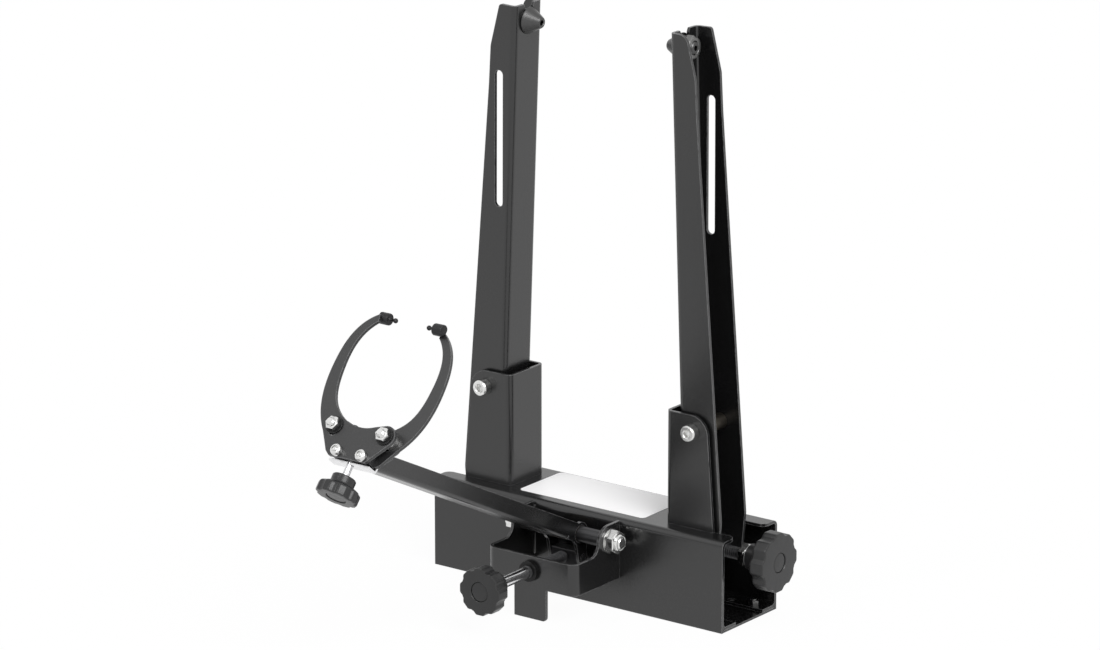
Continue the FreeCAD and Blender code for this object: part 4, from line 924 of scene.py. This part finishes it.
class STAND_OT_sheet_metal(bpy.types.Operator):
    """Rounds the cut edges of the folded sheet and gives every plain part its finish"""

    bl_idname = "stand.sheet_metal"
    bl_label = "Sheet metal and plain parts"

    # The carrier's floor starts here, in millimetres from the middle of the caliper head.
    SHELF_TOP = -5.2
    # Small turned parts have crisper edges than sheet.
    CRISP = 0.6

    def execute(self, context):
        rounding = context.scene.stand_sizes.cut_edge
        for finish, nodes in PLAIN_PARTS.items():
            for node in nodes:
                piece = rounded_node(node, finish, rounding * (1 if "coat" in finish else self.CRISP))
                if node == "caliper_carrier":
                    self.bare_shelf(piece)
        return {"FINISHED"}

    def bare_shelf(self, piece):
        """The carrier's floor is plated and not coated."""
        piece.data.materials.append(finish_of("chrome"))
        edit(piece)
        bpy.ops.mesh.select_mode(type="FACE")
        bpy.ops.mesh.select_all(action="DESELECT")
        mesh = bmesh.from_edit_mesh(piece.data)
        for face in mesh.faces:
            face.select = (HEAD.inverted() @ face.calc_center_median()).y < self.SHELF_TOP * MM
        bmesh.update_edit_mesh(piece.data)
        piece.active_material_index = 1
        bpy.ops.object.material_slot_assign()
        bpy.ops.object.mode_set(mode="OBJECT")


class STAND_OT_hand_knobs(bpy.types.Operator):
    """Moulds the three lobed hand knobs and presses their caps in"""

    bl_idname = "stand.hand_knobs"
    bl_label = "Hand knobs"

    # Node, radius, disc, hub radius and hub height in millimetres, and the place that the hub stands on.
    KNOBS = [
        ("width_knob", 24.7, 15.5, 10.8, 12.0, facing((0.1436, 0, 0.0543), RIGHT)),
        ("adjuster_knob", 19.8, 15.0, 10.5, 9.0, facing((0, -0.1401, 0.0399), -REAR)),
        ("caliper_knob", 17.0, 10.9, 9.5, 7.0, CALIPER_KNOB),
    ]
    RECESS_RADIUS = 8.1
    RECESS = 1.8
    CAP_RADIUS = 7.8

    def execute(self, context):
        sizes = context.scene.stand_sizes
        rim = sizes.knob_rim / MM
        for node, radius, disc, hub_radius, hub, seat in self.KNOBS:
            rows = knob_rows(radius, disc, hub_radius, hub, rim, self.RECESS_RADIUS, self.RECESS)
            fit(node + "_moulding", rows, [seat], "knob_plastic", [node], smooth=40, count=128,
                depth=sizes.lobe_depth)
            rows = cap_rows(self.CAP_RADIUS, hub + disc - self.RECESS)
            fit(node + "_cap_disc", rows, [seat], "knob_plastic", [node + "_cap"], count=64)
        return {"FINISHED"}


class STAND_OT_arm_pivots(bpy.types.Operator):
    """Fits the socket screws and self-locking nuts on which the upright arms turn"""

    bl_idname = "stand.arm_pivots"
    bl_label = "Arm pivots"

    # From the middle of the bracket to the seats of the heads and nuts, in metres.
    SEAT = Vector((0, 0.0225, 0))
    NYLON = rings((4.0, 7.25), (5.0, 7.25), (5.0, 7.7), (4.2, 7.85))

    def execute(self, context):
        front = [facing(pivot - self.SEAT, -REAR) for pivot in ARM_PIVOTS]
        rear = [facing(pivot + self.SEAT, REAR) for pivot in ARM_PIVOTS]
        rows = socket_head_rows(radius=6.7, height=8.0, flats=6.0, shank=4.0, length=54.0, pitch=1.25)
        fit("arm_pivot_screws", rows, front, "bright_zinc", ["pivot_bolts"])
        rows = lock_nut_rows(flats=13.0, bore=4.02, height=8.0)
        fit("arm_pivot_nuts", rows, rear, "bright_zinc", ["pivot_nuts"], smooth=25, hollow=True)
        fit("arm_pivot_nylon", self.NYLON, rear, "nylon", body="stand", hollow=True)
        return {"FINISHED"}


class STAND_OT_caliper_pivot(bpy.types.Operator):
    """Fits the long bolt and the nut on which the caliper arm tilts"""

    bl_idname = "stand.caliper_pivot"
    bl_label = "Caliper arm pivot"

    # From the middle of the bracket to the seats of the head and the nut, in metres.
    SEAT = Vector((0.045, 0, 0))
    FLATS = 17.0
    BOLT = (rings((1.0, -101.0), (4.0, -101.0)) + bolt_end(5.0, -100.6, -86.0, 1.5)
            + rings((5.0, -86.0), (5.0, 0), (FLATS / 2 * 0.97, 0))
            + rings((FLATS / 2, 0.5), (FLATS / 2, 7.6), outline=HEX)
            + rings((FLATS / 2 * 0.95, 8.7), (6.6, 9.3), (1.0, 9.5)))
    NYLON = rings((5.0, 9.05), (6.3, 9.05), (6.3, 9.6), (5.2, 9.8))

    def execute(self, context):
        left = [facing(CALIPER_PIVOT - self.SEAT, -RIGHT)]
        right = [facing(CALIPER_PIVOT + self.SEAT, RIGHT)]
        fit("caliper_arm_bolt", self.BOLT, left, "bright_zinc", ["caliper_pivot_bolt"], smooth=25)
        rows = lock_nut_rows(flats=self.FLATS, bore=5.02, height=10.0)
        fit("caliper_arm_nut", rows, right, "bright_zinc", ["caliper_pivot_nut"], smooth=25, hollow=True)
        fit("caliper_arm_nylon", self.NYLON, right, "nylon", body="stand", hollow=True)
        return {"FINISHED"}


class STAND_OT_spindle(bpy.types.Operator):
    """Cuts the right and left hand threads of the spindle and fits its lock nut"""

    bl_idname = "stand.spindle"
    bl_label = "Spindle"

    # Radius and place along the spindle, in millimetres from the middle of the base.
    CORE = rings((1.0, -128.0), (3.6, -128.0), (4.1, -127.5), (4.1, -87.0), (5.0, -86.0), (5.0, 85.0),
                 (4.1, 86.0), (4.1, 135.0), (5.0, 136.0), (5.0, 163.0), (1.0, 163.3))
    LEFT_THREAD = (-126.6, -86.6)
    RIGHT_THREAD = (86.0, 134.0)
    RADIUS = 5.0
    PITCH = 2.0
    NUT_SEAT = SPINDLE + Vector((0.136, 0, 0))

    def execute(self, context):
        depth = context.scene.stand_sizes.thread_depth
        core = turned("core", self.CORE)
        left = threaded("left_thread", self.RADIUS, self.PITCH, *self.LEFT_THREAD, depth, hand=-1)
        right = threaded("right_thread", self.RADIUS, self.PITCH, *self.RIGHT_THREAD, depth)
        spindle = set_down(joined("threaded_spindle", core, left, right), facing(SPINDLE, RIGHT))
        dress(spindle, "dark_steel", ["spindle"])
        rows = plain_nut_rows(flats=17.0, bore=5.02, height=6.0)
        seat = facing(self.NUT_SEAT, RIGHT)
        fit("spindle_nut", rows, [seat], "bright_zinc", ["spindle_lock_nut"], smooth=25, hollow=True)
        return {"FINISHED"}


class STAND_OT_screws(bpy.types.Operator):
    """Cuts the threads of the height screw and the caliper screw"""

    bl_idname = "stand.screws"
    bl_label = "Adjusting screws"

    # Radius and place along the height screw, in millimetres from the middle of the base to the front.
    HEIGHT_CORE = rings((1.0, 40.16), (3.2, 40.16), (3.5, 40.5), (3.5, 53.76), (4.25, 54.0), (4.25, 104.0),
                        (1.0, 104.2))
    HEIGHT_SHANK = rings((1.0, 104.2), (4.9, 104.2), (5.0, 104.4), (5.0, 156.4), (1.0, 156.6))
    # The same along the caliper screw, from the middle of the caliper head.
    CALIPER_CORE = rings((0.5, -29.75), (2.6, -29.75), (3.0, -29.4), (3.0, -17.6), (2.45, -17.0),
                         (2.45, -4.0), (1.5, -3.85), (1.5, 1.1), (0.4, 1.1))

    def execute(self, context):
        depth = context.scene.stand_sizes.thread_depth
        place = facing(HEIGHT_SCREW, -REAR)
        core = turned("core", self.HEIGHT_CORE)
        thread = threaded("thread", radius=5.0, pitch=1.5, low=54.2, high=103.7, depth=depth)
        screw = set_down(joined("height_screw_thread", core, thread), place)
        # Painted shade: the thread inside the bracket takes the dark steel, though the screw is chrome like
        # its shank.
        dress(screw, "dark_steel", body="height_screw")
        fit("height_screw_shank", self.HEIGHT_SHANK, [place], "chrome", ["adjuster_screw"], count=64)
        core = turned("core", self.CALIPER_CORE, 32)
        thread = threaded("thread", radius=3.0, pitch=1.0, low=-17.2, high=-4.2, depth=depth)
        screw = set_down(joined("caliper_adjusting_screw", core, thread), CALIPER_SCREW)
        dress(screw, "chrome", ["caliper_screw"])
        return {"FINISHED"}


class STAND_OT_head_fasteners(bpy.types.Operator):
    """Fits the pivot screws, nuts and drive screws of the caliper head"""

    bl_idname = "stand.head_fasteners"
    bl_label = "Caliper head fasteners"

    # Levels of the seats on the two sides of the head, in millimetres, and the drive screws' distance.
    REAR_SEAT = -14.8
    FRONT_SEAT = 1.2
    DRIVE_X = 11.8
    NYLON = rings((3.0, 5.45), (3.75, 5.45), (3.75, 5.75), (3.15, 5.9))
    DRIVE_SCREW = rings((0.5, -3.3), (2.5, -3.3), (2.5, 0), (4.3, 0), (4.6, 0.3), (4.6, 3.2), (4.25, 4.0),
                        (3.5, 4.5), (2.8, 4.5), (2.6, 3.1), (1.7, 3.1), (1.6, 4.2), (1.3, 4.5), (0.3, 4.5))

    def execute(self, context):
        rear = [in_head(x, v, self.REAR_SEAT) @ turn(180, "X") for x, v in CALIPER_PIVOTS]
        front = [in_head(x, v, self.FRONT_SEAT) for x, v in CALIPER_PIVOTS]
        drives = [in_head(x, 0, 0) for x in (-self.DRIVE_X, self.DRIVE_X)]
        rows = socket_head_rows(radius=5.0, height=4.0, flats=4.0, shank=3.0, length=23.6, pitch=1.0)
        fit("caliper_pivot_screws", rows, rear, "bright_zinc", ["head_bolts"])
        rows = lock_nut_rows(flats=10.0, bore=3.02, height=6.0)
        fit("caliper_head_nuts", rows, front, "bright_zinc", ["head_nuts"], smooth=25, hollow=True)
        fit("caliper_head_nylon", self.NYLON, front, "nylon", body="caliper_arm", hollow=True)
        fit("caliper_drive_screws", self.DRIVE_SCREW, drives, "bright_zinc", ["left_caliper_screws"])
        return {"FINISHED"}


class STAND_OT_tips(bpy.types.Operator):
    """Turns the two caliper tips: a barrel on each hook's end with a rounded feeler"""

    bl_idname = "stand.tips"
    bl_label = "Caliper tips"

    LEVEL = 112.8
    FACE = -17.2
    # Radius and place along the barrel, which ends in the feeler's round head.
    BARREL = rings((0.5, -13.4), (3.6, -13.4), (4.5, -12.9), (4.7, -12.2), (4.7, -5.0), (4.5, -4.4),
                   (4.0, -4.1), (1.8, -4.1), (1.5, -3.8), (1.2, -3.0), (1.1, -0.9), (1.4, -0.4), (1.85, 0.3),
                   (2.0, 1.0), (1.85, 1.8), (1.35, 2.5), (0.5, 2.9))
    # The barrel's rear is cut flat where the hook's end lies against it.
    HOOK_END = ((-6.0, -6.0, -14.4), (-3.18, 6.0, -8.6))

    def execute(self, context):
        place = shift(self.FACE, self.LEVEL, HEAD_MIDDLE) @ turn(90, "Y")
        for node, head in (("left_tip", HEAD), ("right_tip", RIGHT_HEAD)):
            tip = cut_away(turned(node + "_feeler", self.BARREL), block(*self.HOOK_END))
            dress(set_down(tip, head @ place), "gauge_steel", [node])
        return {"FINISHED"}


class STAND_OT_cones(bpy.types.Operator):
    """Turns the axle cones and fits their nuts"""

    bl_idname = "stand.cones"
    bl_label = "Axle cones"

    CONE = (rings((2.2, -12.1), (4.3, -12.1)) + bolt_end(5.0, -11.8, -4.5, 1.0)
            + rings((5.0, -4.4), (5.0, 0), (10.7, 0), (11.0, 0.3), (11.0, 0.9), (10.8, 1.2), (4.5, 12.5),
                    (4.1, 12.9), (3.6, 13.0), (2.6, 13.0), (2.2, 12.6)))
    # From the cone's seat to the nut's, through the arm's web and the washer.
    NUT_BEHIND = 4.1

    def execute(self, context):
        nut_rows = plain_nut_rows(flats=17.0, bore=5.02, height=7.0)
        for side, arm in ARM_PLACES.items():
            seat = arm @ shift(-WEB_OFFSET, 0, CONE_LEVEL) @ turn(-90, "Y")
            fit(side + "_axle_cone", self.CONE, [seat], "satin_zinc", [side + "_cone"], count=64, hollow=True)
            back = arm @ shift(self.NUT_BEHIND - WEB_OFFSET, 0, CONE_LEVEL) @ turn(90, "Y")
            node = side + "_cone_nut"
            # The nuts are bright zinc; the shaded zinc paints shade on them.
            fit(side + "_axle_nut", nut_rows, [back], "shaded_zinc", [node], smooth=25, hollow=True)
        return {"FINISHED"}


class STAND_OT_label(bpy.types.Operator):
    """Lays a blank label on the top of the base"""

    bl_idname = "stand.label"
    bl_label = "Blank label"

    def execute(self, context):
        sizes = context.scene.stand_sizes
        x0, y0 = sizes.label_start
        x1, y1 = sizes.label_end
        middle = ((x0 + x1) / 2, (y0 + y1) / 2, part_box("base_body")[1].z)
        let_go()
        bpy.ops.mesh.primitive_plane_add(size=1, location=middle)
        label = context.object
        label.name = "blank_label"
        bpy.ops.object.transform_apply()
        edit(label)
        pick_all()
        bpy.ops.transform.resize(value=(x1 - x0, y1 - y0, 1), center_override=middle)
        bpy.ops.mesh.bevel(offset=sizes.label_corner, segments=6, affect="VERTICES")
        pick_all()
        bpy.ops.mesh.extrude_region_move(TRANSFORM_OT_translate={"value": (0, 0, sizes.label_thickness)})
        face_outwards()
        dress(label, "label", body="stand")
        return {"FINISHED"}


class STAND_OT_welds(bpy.types.Operator):
    """Lays weld beads where the brackets stand on the base"""

    bl_idname = "stand.welds"
    bl_label = "Weld beads"

    RIPPLE = 1.5
    # Start and end of each bead on the right side, in millimetres: along the upright bracket's web and its
    # two flanges, and up the side of the front bracket. The left side has the same.
    RUNS = [
        ((79.2, -16.0, 75.0), (79.2, 16.0, 75.0)), ((84.0, 19.8, 75.0), (119.0, 19.8, 75.0)),
        ((84.0, -19.8, 75.0), (119.0, -19.8, 75.0)), ((41.0, -37.6, 30.0), (41.0, -37.6, 71.0)),
    ]

    def bead(self, start, end, radius):
        """A rippled bead between two points, in millimetres."""
        run = end - start
        rows = rings((radius * 0.3, 0), (radius * 0.8, 0.2))
        height = self.RIPPLE
        while height < run.length - self.RIPPLE:
            rows += rings((radius, height), (radius * 0.86, height + self.RIPPLE * 0.45))
            height += self.RIPPLE
        rows += rings((radius * 0.8, run.length - 0.2), (radius * 0.3, run.length))
        return set_down(turned("bead", rows, 16), facing(start * MM, run.normalized()))

    def execute(self, context):
        radius = context.scene.stand_sizes.weld_radius / MM
        beads = []
        for side in (Vector((1, 1, 1)), Vector((-1, 1, 1))):
            for start, end in self.RUNS:
                beads.append(self.bead(Vector(start) * side, Vector(end) * side, radius))
        dress(joined("weld_beads", *beads), "powder_coat", body="stand")
        return {"FINISHED"}


class STAND_PT_panel(bpy.types.Panel):
    """The stand's pieces, sizes and colours"""

    bl_idname = "STAND_PT_panel"
    bl_label = "Wheel truing stand"
    bl_space_type = "VIEW_3D"
    bl_region_type = "UI"
    bl_category = "Stand"

    def draw(self, context):
        for operator in OPERATORS:
            self.layout.operator(operator.bl_idname)
        for settings in (context.scene.stand_sizes, context.scene.stand_colours, context.scene.stand_stage):
            column = self.layout.column()
            for name in settings.__annotations__:
                column.prop(settings, name)


OPERATORS = [
    STAND_OT_camera, STAND_OT_stage, STAND_OT_finishes, STAND_OT_sheet_metal, STAND_OT_hand_knobs,
    STAND_OT_arm_pivots, STAND_OT_caliper_pivot, STAND_OT_spindle, STAND_OT_screws, STAND_OT_head_fasteners,
    STAND_OT_tips, STAND_OT_cones, STAND_OT_label, STAND_OT_welds,
]
GROUPS = {"stand_sizes": StandSizes, "stand_colours": StandColours, "stand_stage": StageSettings}


def register():
    for group in GROUPS.values():
        bpy.utils.register_class(group)
    for name, group in GROUPS.items():
        setattr(bpy.types.Scene, name, bpy.props.PointerProperty(type=group))
    for operator in OPERATORS:
        bpy.utils.register_class(operator)
    bpy.utils.register_class(STAND_PT_panel)


def unregister():
    bpy.utils.unregister_class(STAND_PT_panel)
    for operator in reversed(OPERATORS):
        bpy.utils.unregister_class(operator)
    for name, group in GROUPS.items():
        delattr(bpy.types.Scene, name)
        bpy.utils.unregister_class(group)


def main():
    register()
    for operator in OPERATORS:
        group, name = operator.bl_idname.split(".")
        getattr(getattr(bpy.ops, group), name)()
    let_go()


if __name__ == "__main__":
    main()
